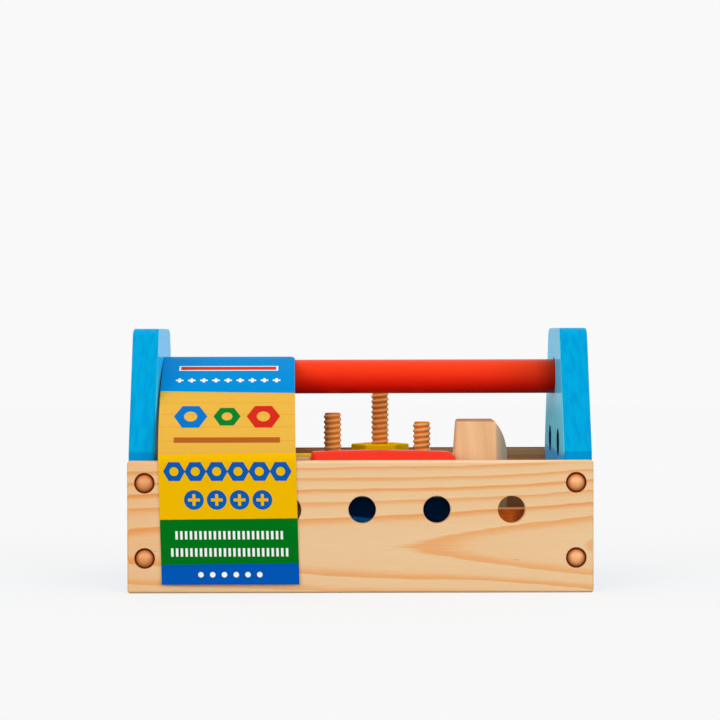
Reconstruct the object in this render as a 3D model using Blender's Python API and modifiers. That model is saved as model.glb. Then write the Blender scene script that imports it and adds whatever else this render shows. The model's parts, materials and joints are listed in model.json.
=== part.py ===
"""A wooden toy tool box with its tools and fasteners, and the card sleeve over its handle.

The box stands on the ground with its origin in the middle of its footprint. X runs along
the handle, the front is -Y and +Z is up. All lengths are in metres.
"""

import math

import bmesh
import bpy
from mathutils import Matrix

# Box as a whole
BOX_LENGTH = 0.254
BOX_DEPTH = 0.140
BOX_HEIGHT = 0.1442

# Side panels
SIDE_HEIGHT = 0.072
SIDE_THICKNESS = 0.008
SIDE_EDGE_RADIUS = 0.0014
SIDE_HOLE_DIAMETER = 0.015
SIDE_HOLE_SPACING = 0.0407
SIDE_HOLE_ROW_OFFSET = 0.001
SIDE_HOLE_HEIGHT_SHARE = 0.628
SIDE_HOLE_COUNT = 5

# End boards
END_THICKNESS = 0.0142
END_SHOULDER_RISE = 0.005
END_TOP_DEPTH = 0.072
END_CORNER_RADIUS = 0.007
END_EDGE_RADIUS = 0.0018
END_HOLE_DIAMETER = 0.015
END_HOLE_SPACING = 0.050
END_HOLE_RISE = 0.0075

# Base board and the groove that holds it
BASE_THICKNESS = 0.006
BASE_BOTTOM = 0.004
GROOVE_DEPTH = 0.003

# Handle rod
ROD_DIAMETER = 0.0195
ROD_HEIGHT = 0.1165
ROD_SOCKET_DEPTH = 0.008

# Plugs and screws that fasten the side panels to the end boards
PLUG_DIAMETER = 0.0102
PLUG_DOME_HEIGHT = 0.0016
PLUG_BORE_DIAMETER = 0.0115
PLUG_BORE_DEPTH = 0.0055
PLUG_INSET = 0.0095
PLUG_LOW_HEIGHT = 0.019
PLUG_TOP_INSET = 0.012
SCREW_HEAD_DIAMETER = 0.008
SCREW_HEAD_THICKNESS = 0.002
SCREW_SHANK_DIAMETER = 0.0035
SCREW_SHANK_LENGTH = 0.028

# Card sleeve
SLEEVE_WIDTH = 0.0749
SLEEVE_THICKNESS = 0.0008
SLEEVE_BOTTOM = 0.005
SLEEVE_END_CLEARANCE = 0.0004
SLEEVE_ARCH_POWER_SHARE = 1.5
SLEEVE_LEAN_SHARE = 0.030
SLEEVE_BACK_TAPER_SHARE = 0.045

# Saw
SAW_HANDLE_LENGTH = 0.0797
SAW_HANDLE_HEIGHT = 0.024
SAW_HANDLE_THICKNESS = 0.010
SAW_HANDLE_RISE = 0.0053
SAW_HANDLE_CROWN = 0.0008
SAW_HANDLE_TOP_RADIUS = 0.006
SAW_HANDLE_LOW_RADIUS = 0.010
SAW_END_INSET = 0.0600
SAW_BLADE_THICKNESS = 0.005
SAW_BLADE_RISE = 0.0015
SAW_NOSE_CLEARANCE = 0.0075
SAW_NOSE_RADIUS = 0.015
SAW_TOOTH_PITCH = 0.008
SAW_TOOTH_DEPTH = 0.005
SAW_TANG_LENGTH = 0.022
SAW_TANG_HEIGHT = 0.013

# Wrench
WRENCH_THICKNESS = 0.0095
WRENCH_JAW_INSET = 0.0493
WRENCH_JAW_RADIUS = 0.025
WRENCH_END_RADIUS = 0.012
WRENCH_NECK_RADIUS = 0.020
WRENCH_HAMMER_CLEARANCE = 0.001

# Hammer
HAMMER_INSET = 0.0312
HAMMER_HEAD_WIDTH = 0.0294
HAMMER_HEAD_DEPTH = 0.024
HAMMER_HEAD_LENGTH = 0.0828
HAMMER_HEAD_CHAMFER = 0.006
HAMMER_HEAD_TAPER = 0.0014
HAMMER_CROWN_RADIUS = 0.0286
HAMMER_CROWN_DROP = 0.0091
HAMMER_HANDLE_HEIGHT = 0.024
HAMMER_HANDLE_THICKNESS = 0.010
HAMMER_HANDLE_RISE = 0.0022
HAMMER_HANDLE_END_CLEARANCE = 0.030
HAMMER_TENON_DEPTH = 0.020

# Blue board behind the wrench
BOARD_LENGTH = 0.112
BOARD_THICKNESS = 0.006
BOARD_HOLE_SPACING = 0.040
BOARD_CORNER_RADIUS = 0.004

# Hexagonal heads and nuts, and what they fit
HEX_ACROSS_FLATS = 0.031
HEX_THICKNESS = 0.012
HEX_CHAMFER = 0.0012
HEX_SLOT_WIDTH = 0.003
HEX_SLOT_DEPTH = 0.004
HEX_SIDE_CLEARANCE = 0.0009
SHAFT_DIAMETER = 0.010
SHAFT_TIP_CHAMFER = 0.0012
SHAFT_SOCKET_DEPTH = 0.008
BOLT_LENGTH = 0.0794
BOLT_RIGHT_INSET = 0.0769
BOLT_RIGHT_STEP = 0.0241
BOLT_LEFT_STEP = 0.0279
BOLT_PANEL_CLEARANCE = 0.0009
ROD_THREADED_LENGTH = 0.100
NUT_UPPER_RISE = 0.0036
JAW_CLEARANCE = 0.0005

# Square plates
PLATE_SIZE = 0.0354
PLATE_THICKNESS = 0.005
PLATE_HOLE_SIZE = 0.013
PLATE_RIGHT_INSET = 0.0088

# Flat strips
STRIP_WIDTH = 0.022
STRIP_THICKNESS = 0.006
STRIP_HOLE_INSET = 0.012
STRIP_HAMMER_CLEARANCE = 0.0146
STRIP_END_CLEARANCE = 0.002
STRIP_STEP = 0.0245
STRIP_PANEL_CLEARANCE = 0.002

# Screwdriver
DRIVER_HANDLE_DIAMETER = 0.026
DRIVER_HANDLE_LENGTH = 0.060
DRIVER_COLLAR_LENGTH = 0.010
DRIVER_COLLAR_DIAMETER = 0.017
DRIVER_GRIP_GROOVE = 0.0012
DRIVER_GRIP_RINGS = 3
DRIVER_SHAFT_DIAMETER = 0.009
DRIVER_TIP_LENGTH = 0.012
DRIVER_TIP_THICKNESS = 0.0026
DRIVER_END_CLEARANCE = 0.0045
DRIVER_NUT_CLEARANCE = 0.001
DRIVER_PANEL_CLEARANCE = 0.0015

# Shared small sizes
SEAT_GAP = 0.0003
CUT_OVERRUN = 0.003
HOLE_CHAMFER = 0.0006
SMALL_EDGE_RADIUS = 0.001
MERGE_DISTANCE = 0.00001

# Facet counts
ROUND_SEGMENTS = 28
HOLE_SEGMENTS = 24
SMALL_SEGMENTS = 16
SCREW_SEGMENTS = 10
EDGE_SEGMENTS = 2
ARC_STEPS = 5
ARCH_STEPS = 12
DOME_STEPS = 4

# Places that follow from the sizes above
INNER_HALF_LENGTH = BOX_LENGTH / 2 - END_THICKNESS
INNER_HALF_DEPTH = BOX_DEPTH / 2 - SIDE_THICKNESS
FLOOR = BASE_BOTTOM + BASE_THICKNESS
STAND = FLOOR + SEAT_GAP
FRONT_FACE = -INNER_HALF_DEPTH
SIDE_HOLE_HEIGHT = SIDE_HEIGHT * SIDE_HOLE_HEIGHT_SHARE
END_SHOULDER_HEIGHT = SIDE_HEIGHT + END_SHOULDER_RISE
END_HOLE_HEIGHT = SIDE_HEIGHT + END_HOLE_RISE
PLUG_HIGH_HEIGHT = SIDE_HEIGHT - PLUG_TOP_INSET
HEX_ACROSS_CORNERS = HEX_ACROSS_FLATS / math.cos(math.pi / 6)
BORE_DIAMETER = SHAFT_DIAMETER + 2 * SEAT_GAP

SAW_Y = FRONT_FACE + SEAT_GAP + SAW_HANDLE_THICKNESS / 2
WRENCH_Y = SAW_Y + SAW_HANDLE_THICKNESS / 2 + SEAT_GAP + WRENCH_THICKNESS / 2
HAMMER_Y = WRENCH_Y + WRENCH_THICKNESS / 2 + SEAT_GAP + HAMMER_HANDLE_THICKNESS / 2
BOARD_Y = WRENCH_Y + WRENCH_THICKNESS / 2 + SEAT_GAP + BOARD_THICKNESS / 2
HAMMER_RIGHT = INNER_HALF_LENGTH - HAMMER_INSET
HAMMER_LEFT = HAMMER_RIGHT - HAMMER_HEAD_WIDTH
HAMMER_HANDLE_TOP = SIDE_HEIGHT + HAMMER_HANDLE_RISE

WRENCH_END_X = HAMMER_LEFT - WRENCH_HAMMER_CLEARANCE - WRENCH_END_RADIUS
WRENCH_RUN = WRENCH_END_X + INNER_HALF_LENGTH - WRENCH_JAW_INSET
WRENCH_RISE = WRENCH_JAW_RADIUS - WRENCH_END_RADIUS
WRENCH_SPAN = math.hypot(WRENCH_RUN, WRENCH_RISE)

BOLT_RIGHT_X = INNER_HALF_LENGTH - BOLT_RIGHT_INSET
THREADED_ROD_X = BOLT_RIGHT_X - BOLT_RIGHT_STEP
BOLT_LEFT_X = THREADED_ROD_X - BOLT_LEFT_STEP
THREADED_ROD_Y = INNER_HALF_DEPTH - BOLT_PANEL_CLEARANCE - HEX_ACROSS_CORNERS / 2
HEX_PITCH = HEX_ACROSS_CORNERS + HEX_SIDE_CLEARANCE
BOLT_ROW_Y = THREADED_ROD_Y - math.sqrt(HEX_PITCH ** 2 - BOLT_RIGHT_STEP ** 2)

NATURAL_WOOD = (0.84, 0.60, 0.33)
BLUE_STAIN = (0.01, 0.39, 0.70)
RED_PAINT = (0.80, 0.04, 0.01)
YELLOW_PAINT = (0.87, 0.62, 0.01)
GREEN_PAINT = (0.01, 0.35, 0.08)
PLUG_WOOD = (0.50, 0.20, 0.08)
SCREW_STEEL = (0.55, 0.55, 0.55)
CARD_PRINT = (0.90, 0.62, 0.06)


def start_collections():
    """Empty the scene and make one collection for the box and one for the cutters."""
    for existing in list(bpy.data.objects):
        bpy.data.objects.remove(existing, do_unlink=True)
    collections = {}
    for name in ("toy_tool_box", "cutters"):
        collections[name] = bpy.data.collections.new(name)
        bpy.context.scene.collection.children.link(collections[name])
    return collections


COLLECTIONS = start_collections()


def finish_material(name, colour, roughness=0.5, metallic=0.0):
    """A Principled material of one colour."""
    material = bpy.data.materials.new(name)
    material.use_nodes = True
    shader = material.node_tree.nodes["Principled BSDF"]
    shader.inputs["Base Color"].default_value = (*colour, 1)
    shader.inputs["Roughness"].default_value = roughness
    shader.inputs["Metallic"].default_value = metallic
    return material


def add_object(name, mesh, colour=None, roughness=0.5, metallic=0.0):
    """Link a mesh as a piece of the box, or as a cutter where it has no colour."""
    piece = bpy.data.objects.new(name, mesh)
    if colour is None:
        COLLECTIONS["cutters"].objects.link(piece)
        piece.hide_render = True
        piece.display_type = "WIRE"
        return piece
    COLLECTIONS["toy_tool_box"].objects.link(piece)
    mesh.materials.append(finish_material(name, colour, roughness, metallic))
    return piece


def mesh_from_bmesh(name, shape):
    mesh = bpy.data.meshes.new(name)
    shape.to_mesh(mesh)
    shape.free()
    return mesh


def box_mesh(name, size):
    """A box centred on its own origin."""
    shape = bmesh.new()
    bmesh.ops.create_cube(shape, size=1)
    bmesh.ops.scale(shape, vec=size, verts=shape.verts)
    return mesh_from_bmesh(name, shape)


def prism_mesh(name, diameter, length, sides):
    """A cylinder or a regular prism along Z, with a corner on +X."""
    shape = bmesh.new()
    bmesh.ops.create_cone(
        shape,
        cap_ends=True,
        segments=sides,
        radius1=diameter / 2,
        radius2=diameter / 2,
        depth=length,
        matrix=Matrix.Rotation(math.pi / 2, 4, "Z"),
    )
    return mesh_from_bmesh(name, shape)


def outline_mesh(name, outline, thickness):
    """A flat outline in XY, filled and made as thick as asked about its own plane."""
    curve = bpy.data.curves.new(name + "_outline", "CURVE")
    curve.dimensions = "2D"
    curve.fill_mode = "BOTH"
    curve.extrude = thickness / 2
    curve.render_resolution_u = 0
    spline = curve.splines.new("POLY")
    spline.points.add(len(outline) - 1)
    for point, (x, y) in zip(spline.points, outline):
        point.co = (x, y, 0, 1)
    spline.use_cyclic_u = True
    guide = bpy.data.objects.new(name + "_outline", curve)
    COLLECTIONS["cutters"].objects.link(guide)
    bpy.context.view_layer.update()
    evaluated = guide.evaluated_get(bpy.context.evaluated_depsgraph_get())
    mesh = bpy.data.meshes.new_from_object(evaluated)
    bpy.data.objects.remove(guide, do_unlink=True)
    shape = bmesh.new()
    shape.from_mesh(mesh)
    bmesh.ops.remove_doubles(shape, verts=shape.verts, dist=MERGE_DISTANCE)
    shape.to_mesh(mesh)
    shape.free()
    mesh.name = name
    mesh.materials.clear()
    return mesh


def stand_outline(piece, place):
    """Turn an XY outline up so that its X stays along X and its Y points up."""
    piece.rotation_euler = (math.pi / 2, 0, 0)
    piece.location = place


def round_edges(piece, radius, segments=1):
    """Break the sharp edges of a piece, or round them with more than one segment."""
    bevel = piece.modifiers.new("edges", "BEVEL")
    bevel.width = radius
    bevel.segments = segments
    bevel.limit_method = "ANGLE"
    bevel.angle_limit = math.radians(35)


def cut(piece, cutter):
    """Take the cutter's shape out of a piece."""
    boolean = piece.modifiers.new("cut_" + cutter.name, "BOOLEAN")
    boolean.operation = "DIFFERENCE"
    boolean.solver = "EXACT"
    boolean.object = cutter


def turn_profile(piece, segments):
    """Revolve a profile of a piece about its own Z axis."""
    screw = piece.modifiers.new("turn", "SCREW")
    screw.axis = "Z"
    screw.steps = segments
    screw.render_steps = segments
    screw.use_merge_vertices = True
    screw.merge_threshold = MERGE_DISTANCE


def profile_mesh(name, profile):
    """An open line of radius and height points, from the top down."""
    mesh = bpy.data.meshes.new(name)
    points = [(radius, 0, height) for radius, height in profile]
    mesh.from_pydata(points, [(i, i + 1) for i in range(len(points) - 1)], [])
    return mesh


def arc_points(centre_x, centre_y, radius, start, end, steps=ARC_STEPS):
    """Points of an arc between two angles in degrees."""
    points = []
    for step in range(steps + 1):
        angle = math.radians(start + (end - start) * step / steps)
        points.append((centre_x + radius * math.cos(angle), centre_y + radius * math.sin(angle)))
    return points


def rounded_rectangle(length, width, radius):
    """Outline of a rectangle about the origin with rounded corners."""
    x = length / 2 - radius
    y = width / 2 - radius
    return (
        arc_points(x, y, radius, 0, 90)
        + arc_points(-x, y, radius, 90, 180)
        + arc_points(-x, -y, radius, 180, 270)
        + arc_points(x, -y, radius, 270, 360)
    )


def hole_cutter(name, place, diameter, wall, rotation=(0, 0, 0)):
    """A round hole through a wall, with a small chamfer at both faces."""
    radius = diameter / 2
    reach = wall / 2 + CUT_OVERRUN
    flare = radius + HOLE_CHAMFER + CUT_OVERRUN
    throat = wall / 2 - HOLE_CHAMFER
    profile = [(0, reach), (flare, reach), (radius, throat), (radius, -throat), (flare, -reach), (0, -reach)]
    cutter = add_object(name, profile_mesh(name, profile))
    turn_profile(cutter, HOLE_SEGMENTS)
    cutter.location = place
    cutter.rotation_euler = rotation
    return cutter


def bore_cutter(name, place, diameter, length, rotation=(0, 0, 0), segments=SMALL_SEGMENTS):
    """A plain round bore, centred on its place."""
    cutter = add_object(name, prism_mesh(name, diameter, length, segments))
    cutter.location = place
    cutter.rotation_euler = rotation
    return cutter


def block_cutter(name, place, size, rotation=(0, 0, 0)):
    cutter = add_object(name, box_mesh(name, size))
    cutter.location = place
    cutter.rotation_euler = rotation
    return cutter


ALONG_X = (0, math.pi / 2, 0)
ALONG_Y = (math.pi / 2, 0, 0)
PLATE_TURN = (0, 0, math.pi / 4)
PLUG_PLACES = [
    (side, level, (-1 if side == "left" else 1) * (BOX_LENGTH / 2 - PLUG_INSET), height)
    for side in ("left", "right")
    for level, height in (("low", PLUG_LOW_HEIGHT), ("high", PLUG_HIGH_HEIGHT))
]
FACES = (("front", -1), ("back", 1))


def base_groove_size():
    """Length, depth and height of the space that the base board and its play fill."""
    length = 2 * (INNER_HALF_LENGTH + GROOVE_DEPTH)
    depth = 2 * (INNER_HALF_DEPTH + GROOVE_DEPTH)
    return length, depth, BASE_THICKNESS + 2 * SEAT_GAP


def make_side_panels():
    """Front and back panels: holes, plug bores, screw bores and the base groove."""
    groove = block_cutter("groove_cutter", (0, 0, BASE_BOTTOM + BASE_THICKNESS / 2), base_groove_size())
    for face, sign in FACES:
        name = "side_" + face
        panel = add_object(name, box_mesh(name, (BOX_LENGTH, SIDE_THICKNESS, SIDE_HEIGHT)), NATURAL_WOOD)
        panel.location = (0, sign * (BOX_DEPTH - SIDE_THICKNESS) / 2, SIDE_HEIGHT / 2)
        round_edges(panel, SIDE_EDGE_RADIUS, EDGE_SEGMENTS)
        for index in range(SIDE_HOLE_COUNT):
            x = SIDE_HOLE_ROW_OFFSET + (index - (SIDE_HOLE_COUNT - 1) / 2) * SIDE_HOLE_SPACING
            place = (x, panel.location.y, SIDE_HOLE_HEIGHT)
            label = f"{name}_hole_{index + 1}"
            cut(panel, hole_cutter(label, place, SIDE_HOLE_DIAMETER, SIDE_THICKNESS, ALONG_Y))
        for side, level, x, height in PLUG_PLACES:
            label = f"{face}_{side}_{level}"
            mouth = sign * (BOX_DEPTH / 2 - PLUG_BORE_DEPTH / 2 + CUT_OVERRUN / 2)
            counterbore = bore_cutter(
                "plug_bore_" + label,
                (x, mouth, height),
                PLUG_BORE_DIAMETER,
                PLUG_BORE_DEPTH + CUT_OVERRUN,
                ALONG_Y,
                HOLE_SEGMENTS,
            )
            cut(panel, counterbore)
            cut(panel, screw_bore(label, x, sign, height))
        cut(panel, groove)


def screw_bore(label, x, sign, height):
    """The bore of one screw's shank, through a side panel and into an end board's edge."""
    outer = BOX_DEPTH / 2 - PLUG_BORE_DEPTH + CUT_OVERRUN
    length = SCREW_SHANK_LENGTH + 2 * CUT_OVERRUN
    diameter = SCREW_SHANK_DIAMETER + 2 * SEAT_GAP
    existing = bpy.data.objects.get("screw_bore_" + label)
    return existing or bore_cutter(
        "screw_bore_" + label, (x, sign * (outer - length / 2), height), diameter, length, ALONG_Y
    )


def end_outline():
    """Outline of an end board: straight between the side panels, then tapering to the top."""
    half = INNER_HALF_DEPTH - SEAT_GAP
    top = END_TOP_DEPTH / 2
    rise = BOX_HEIGHT - END_SHOULDER_HEIGHT
    slope = math.degrees(math.atan2(half - top, rise))
    inset = END_CORNER_RADIUS * math.tan(math.radians(90 - slope) / 2)
    centre_y = top - inset
    centre_z = BOX_HEIGHT - END_CORNER_RADIUS
    right = [(half, 0), (half, END_SHOULDER_HEIGHT)]
    right += arc_points(centre_y, centre_z, END_CORNER_RADIUS, slope, 90, ARC_STEPS)
    left = [(-y, z) for y, z in reversed(right)]
    return right + left


def make_end_boards():
    """Left and right end boards with the rod's blind sockets."""
    groove = bpy.data.objects["groove_cutter"]
    for side, sign in (("left", -1), ("right", 1)):
        name = "end_" + side
        board = add_object(name, outline_mesh(name, end_outline(), END_THICKNESS), BLUE_STAIN, 0.4)
        board.rotation_euler = (math.pi / 2, 0, math.pi / 2)
        centre = sign * (BOX_LENGTH - END_THICKNESS) / 2
        board.location = (centre, 0, 0)
        round_edges(board, END_EDGE_RADIUS, EDGE_SEGMENTS)
        for index in (-1, 1):
            place = (centre, index * END_HOLE_SPACING / 2, END_HOLE_HEIGHT)
            label = f"{name}_hole_{'front' if index < 0 else 'back'}"
            cut(board, hole_cutter(label, place, END_HOLE_DIAMETER, END_THICKNESS, ALONG_X))
        socket_length = ROD_SOCKET_DEPTH + CUT_OVERRUN
        socket_x = sign * (INNER_HALF_LENGTH + ROD_SOCKET_DEPTH / 2 - CUT_OVERRUN / 2)
        socket = bore_cutter(
            name + "_socket",
            (socket_x, 0, ROD_HEIGHT),
            ROD_DIAMETER + 2 * SEAT_GAP,
            socket_length,
            ALONG_X,
            ROUND_SEGMENTS,
        )
        cut(board, socket)
        for face, face_sign in FACES:
            for place_side, level, x, height in PLUG_PLACES:
                if place_side == side:
                    cut(board, screw_bore(f"{face}_{side}_{level}", x, face_sign, height))
        cut(board, groove)


def make_base_board():
    length, depth, _ = base_groove_size()
    size = (length - 2 * SEAT_GAP, depth - 2 * SEAT_GAP, BASE_THICKNESS)
    base = add_object("base_board", box_mesh("base_board", size), NATURAL_WOOD)
    base.location = (0, 0, BASE_BOTTOM + BASE_THICKNESS / 2)


def make_handle_rod():
    """The round handle, seated in both end boards."""
    length = 2 * (INNER_HALF_LENGTH + ROD_SOCKET_DEPTH - SEAT_GAP)
    rod = add_object("handle_rod", prism_mesh("handle_rod", ROD_DIAMETER, length, ROUND_SEGMENTS), RED_PAINT, 0.35)
    rod.rotation_euler = ALONG_X
    rod.location = (0, 0, ROD_HEIGHT)


def plug_profile():
    """A plug from its domed top down to its seat, with its outer face at height zero."""
    radius = PLUG_DIAMETER / 2
    stem = PLUG_BORE_DEPTH - SCREW_HEAD_THICKNESS - 2 * SEAT_GAP
    dome_radius = (radius ** 2 + PLUG_DOME_HEIGHT ** 2) / (2 * PLUG_DOME_HEIGHT)
    sweep = math.asin(radius / dome_radius)
    points = []
    for step in range(DOME_STEPS + 1):
        angle = sweep * step / DOME_STEPS
        height = PLUG_DOME_HEIGHT - dome_radius * (1 - math.cos(angle))
        points.append((dome_radius * math.sin(angle), height))
    return points + [(radius, -stem), (0, -stem)]


def screw_profile():
    """A pan head screw from the top of its head down to its point."""
    head = SCREW_HEAD_DIAMETER / 2
    shank = SCREW_SHANK_DIAMETER / 2
    point_height = -SCREW_HEAD_THICKNESS - SCREW_SHANK_LENGTH
    return [
        (0, 0),
        (head - SMALL_EDGE_RADIUS, 0),
        (head, -SMALL_EDGE_RADIUS),
        (head, -SCREW_HEAD_THICKNESS),
        (shank, -SCREW_HEAD_THICKNESS),
        (shank, point_height + SCREW_SHANK_DIAMETER),
        (0, point_height),
    ]


def make_plugs_and_screws():
    """Eight screws in their counterbores, each under a domed plug."""
    screw_top = BOX_DEPTH / 2 - PLUG_BORE_DEPTH + SEAT_GAP + SCREW_HEAD_THICKNESS
    for face, sign in FACES:
        outward = (-sign * math.pi / 2, 0, 0)
        for side, level, x, height in PLUG_PLACES:
            label = f"{face}_{side}_{level}"
            plug = add_object("plug_" + label, profile_mesh("plug_" + label, plug_profile()), PLUG_WOOD, 0.3)
            turn_profile(plug, SMALL_SEGMENTS)
            plug.rotation_euler = outward
            plug.location = (x, sign * BOX_DEPTH / 2, height)
            screw = add_object(
                "screw_" + label, profile_mesh("screw_" + label, screw_profile()), SCREW_STEEL, 0.3, 1.0
            )
            turn_profile(screw, SCREW_SEGMENTS)
            screw.rotation_euler = outward
            screw.location = (x, sign * screw_top, height)


def sleeve_path():
    """Depth and height points of the card, from the front hem over the rod to the back hem."""
    half_depth = BOX_DEPTH / 2 + SEAT_GAP + SLEEVE_THICKNESS / 2
    crest = ROD_HEIGHT + ROD_DIAMETER / 2 + SEAT_GAP + SLEEVE_THICKNESS / 2
    rise = crest - SIDE_HEIGHT
    front = [(-half_depth, SLEEVE_BOTTOM)]
    for step in range(ARCH_STEPS):
        angle = math.pi / 2 * step / ARCH_STEPS
        y = -half_depth * math.cos(angle) ** (2 / SLEEVE_ARCH_POWER_SHARE)
        z = SIDE_HEIGHT + rise * math.sin(angle) ** (2 / SLEEVE_ARCH_POWER_SHARE)
        front.append((y, z))
    back = [(-y, z) for y, z in reversed(front)]
    return front + [(0, crest)] + back


def make_card_sleeve():
    """The card sleeve, a bowed band over the rod: its front half leans, its back half tapers."""
    left = -INNER_HALF_LENGTH + SLEEVE_END_CLEARANCE
    right = left + SLEEVE_WIDTH
    path = sleeve_path()
    crest = len(path) // 2
    runs = [0.0]
    for one, other in zip(path, path[1:]):
        runs.append(runs[-1] + math.dist(one, other))
    points = []
    for (y, z), run in zip(path, runs):
        lean = SLEEVE_LEAN_SHARE * max(runs[crest] - run, 0)
        taper = SLEEVE_BACK_TAPER_SHARE * max(run - runs[crest], 0)
        points.append((left + lean, y, z))
        points.append((right + lean - taper, y, z))
    faces = [(i, i + 1, i + 3, i + 2) for i in range(0, len(points) - 2, 2)]
    mesh = bpy.data.meshes.new("card_sleeve")
    mesh.from_pydata(points, [], faces)
    sleeve = add_object("card_sleeve", mesh, CARD_PRINT, 0.4)
    card = sleeve.modifiers.new("card", "SOLIDIFY")
    card.thickness = SLEEVE_THICKNESS
    card.offset = 0
    card.use_even_offset = True


def saw_handle_outline():
    """The handle bar, with its left end at the blade, about its own middle height."""
    length = SAW_HANDLE_LENGTH
    half = SAW_HANDLE_HEIGHT / 2
    top = arc_points(
        length - SAW_HANDLE_TOP_RADIUS, half - SAW_HANDLE_TOP_RADIUS, SAW_HANDLE_TOP_RADIUS, 0, 90
    )
    low = arc_points(
        length - SAW_HANDLE_LOW_RADIUS, SAW_HANDLE_LOW_RADIUS - half, SAW_HANDLE_LOW_RADIUS, 270, 360
    )
    crown = []
    crown_length = length - SAW_HANDLE_TOP_RADIUS
    for step in range(1, ARC_STEPS):
        share = step / ARC_STEPS
        bulge = SAW_HANDLE_CROWN * math.sin(math.pi * share)
        crown.append((crown_length * (1 - share), half + bulge))
    return [(0, -half)] + low + top + crown + [(0, half)]


def saw_blade_outline(length, height, tang_middle):
    """The blade with its teeth down, its heel at X zero and its tang beyond it."""
    tang_low = tang_middle - SAW_TANG_HEIGHT / 2
    tang_high = tang_middle + SAW_TANG_HEIGHT / 2
    outline = [(0, tang_low), (SAW_TANG_LENGTH, tang_low), (SAW_TANG_LENGTH, tang_high), (0, tang_high)]
    outline.append((0, height))
    nose_x = -length + SAW_NOSE_RADIUS
    outline += arc_points(nose_x, height - SAW_NOSE_RADIUS, SAW_NOSE_RADIUS, 90, 180)
    teeth = max(1, int(length / SAW_TOOTH_PITCH))
    pitch = length / teeth
    for tooth in range(teeth):
        left = -length + tooth * pitch
        outline.append((left, SAW_TOOTH_DEPTH))
        outline.append((left + pitch / 2, 0))
    outline.append((0, SAW_TOOTH_DEPTH))
    return outline


def make_saw():
    """The saw stands on its teeth behind the front panel, its handle bar at the top right."""
    handle_right = INNER_HALF_LENGTH - SAW_END_INSET
    handle_left = handle_right - SAW_HANDLE_LENGTH
    handle_middle = SIDE_HEIGHT + SAW_HANDLE_RISE - SAW_HANDLE_CROWN - SAW_HANDLE_HEIGHT / 2
    handle = add_object(
        "saw_handle", outline_mesh("saw_handle", saw_handle_outline(), SAW_HANDLE_THICKNESS), RED_PAINT, 0.35
    )
    stand_outline(handle, (handle_left, SAW_Y, handle_middle))
    round_edges(handle, SMALL_EDGE_RADIUS, EDGE_SEGMENTS)
    mortise_length = SAW_TANG_LENGTH + CUT_OVERRUN
    mortise = block_cutter(
        "saw_mortise",
        (handle_left + mortise_length / 2 - CUT_OVERRUN, SAW_Y, handle_middle),
        (mortise_length, SAW_BLADE_THICKNESS + 2 * SEAT_GAP, SAW_TANG_HEIGHT + 2 * SEAT_GAP),
    )
    cut(handle, mortise)

    heel = handle_left - SEAT_GAP
    length = heel + INNER_HALF_LENGTH - SAW_NOSE_CLEARANCE
    height = SIDE_HEIGHT + SAW_BLADE_RISE - STAND
    outline = saw_blade_outline(length, height, handle_middle - STAND)
    blade = add_object("saw_blade", outline_mesh("saw_blade", outline, SAW_BLADE_THICKNESS), NATURAL_WOOD)
    stand_outline(blade, (heel, SAW_Y, STAND))


def wrench_outline():
    """The wrench with its rounded end at the origin and its jaw towards -X."""
    jaw_half = HEX_ACROSS_FLATS / 2 + JAW_CLEARANCE
    reach = WRENCH_JAW_RADIUS + WRENCH_NECK_RADIUS
    neck_rise = WRENCH_END_RADIUS + WRENCH_NECK_RADIUS
    neck_run = math.sqrt(reach ** 2 - neck_rise ** 2)
    neck_angle = math.degrees(math.atan2(neck_rise, neck_run))
    tip_run = math.sqrt(WRENCH_JAW_RADIUS ** 2 - jaw_half ** 2)
    tip_angle = math.degrees(math.atan2(jaw_half, -tip_run))
    mouth_bottom = jaw_half * math.tan(math.pi / 6)
    upper = arc_points(0, 0, WRENCH_END_RADIUS, 0, 90)
    upper += arc_points(
        -WRENCH_SPAN + neck_run, neck_rise, WRENCH_NECK_RADIUS, 270, 180 + neck_angle
    )
    upper += arc_points(-WRENCH_SPAN, 0, WRENCH_JAW_RADIUS, neck_angle, tip_angle)[1:]
    upper.append((-WRENCH_SPAN - mouth_bottom / 2, jaw_half))
    upper.append((-WRENCH_SPAN + mouth_bottom / 2, 0))
    lower = [(x, -y) for x, y in reversed(upper[1:-1])]
    return upper + lower


def make_wrench():
    """The wrench stands on edge, resting on its jaw and on its rounded end."""
    outline = wrench_outline()
    wrench = add_object("wrench", outline_mesh("wrench", outline, WRENCH_THICKNESS), BLUE_STAIN, 0.4)
    wrench.rotation_euler = (math.pi / 2, math.atan2(WRENCH_RISE, WRENCH_RUN), 0)
    wrench.location = (WRENCH_END_X, WRENCH_Y, STAND + WRENCH_END_RADIUS)
    round_edges(wrench, SMALL_EDGE_RADIUS)


def hammer_head_section():
    """Plan of the hammer head: square towards the handle, chamfered on the crown side."""
    width = HAMMER_HEAD_WIDTH / 2
    depth = HAMMER_HEAD_DEPTH / 2
    corner = HAMMER_HEAD_CHAMFER
    return [
        (-width, -depth),
        (width - corner, -depth),
        (width, corner - depth),
        (width, depth - corner),
        (width - corner, depth),
        (-width, depth),
    ]


def hammer_crown_outline():
    """The arc of the crown, with the head's left edge at X zero and its striking face at zero."""
    radius = HAMMER_CROWN_RADIUS
    centre_x = HAMMER_HEAD_WIDTH - radius
    centre_y = HAMMER_HEAD_LENGTH - radius + HAMMER_CROWN_DROP
    end = math.degrees(math.asin((radius - HAMMER_CROWN_DROP) / radius))
    return arc_points(centre_x, centre_y, radius, 0, end)


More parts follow.
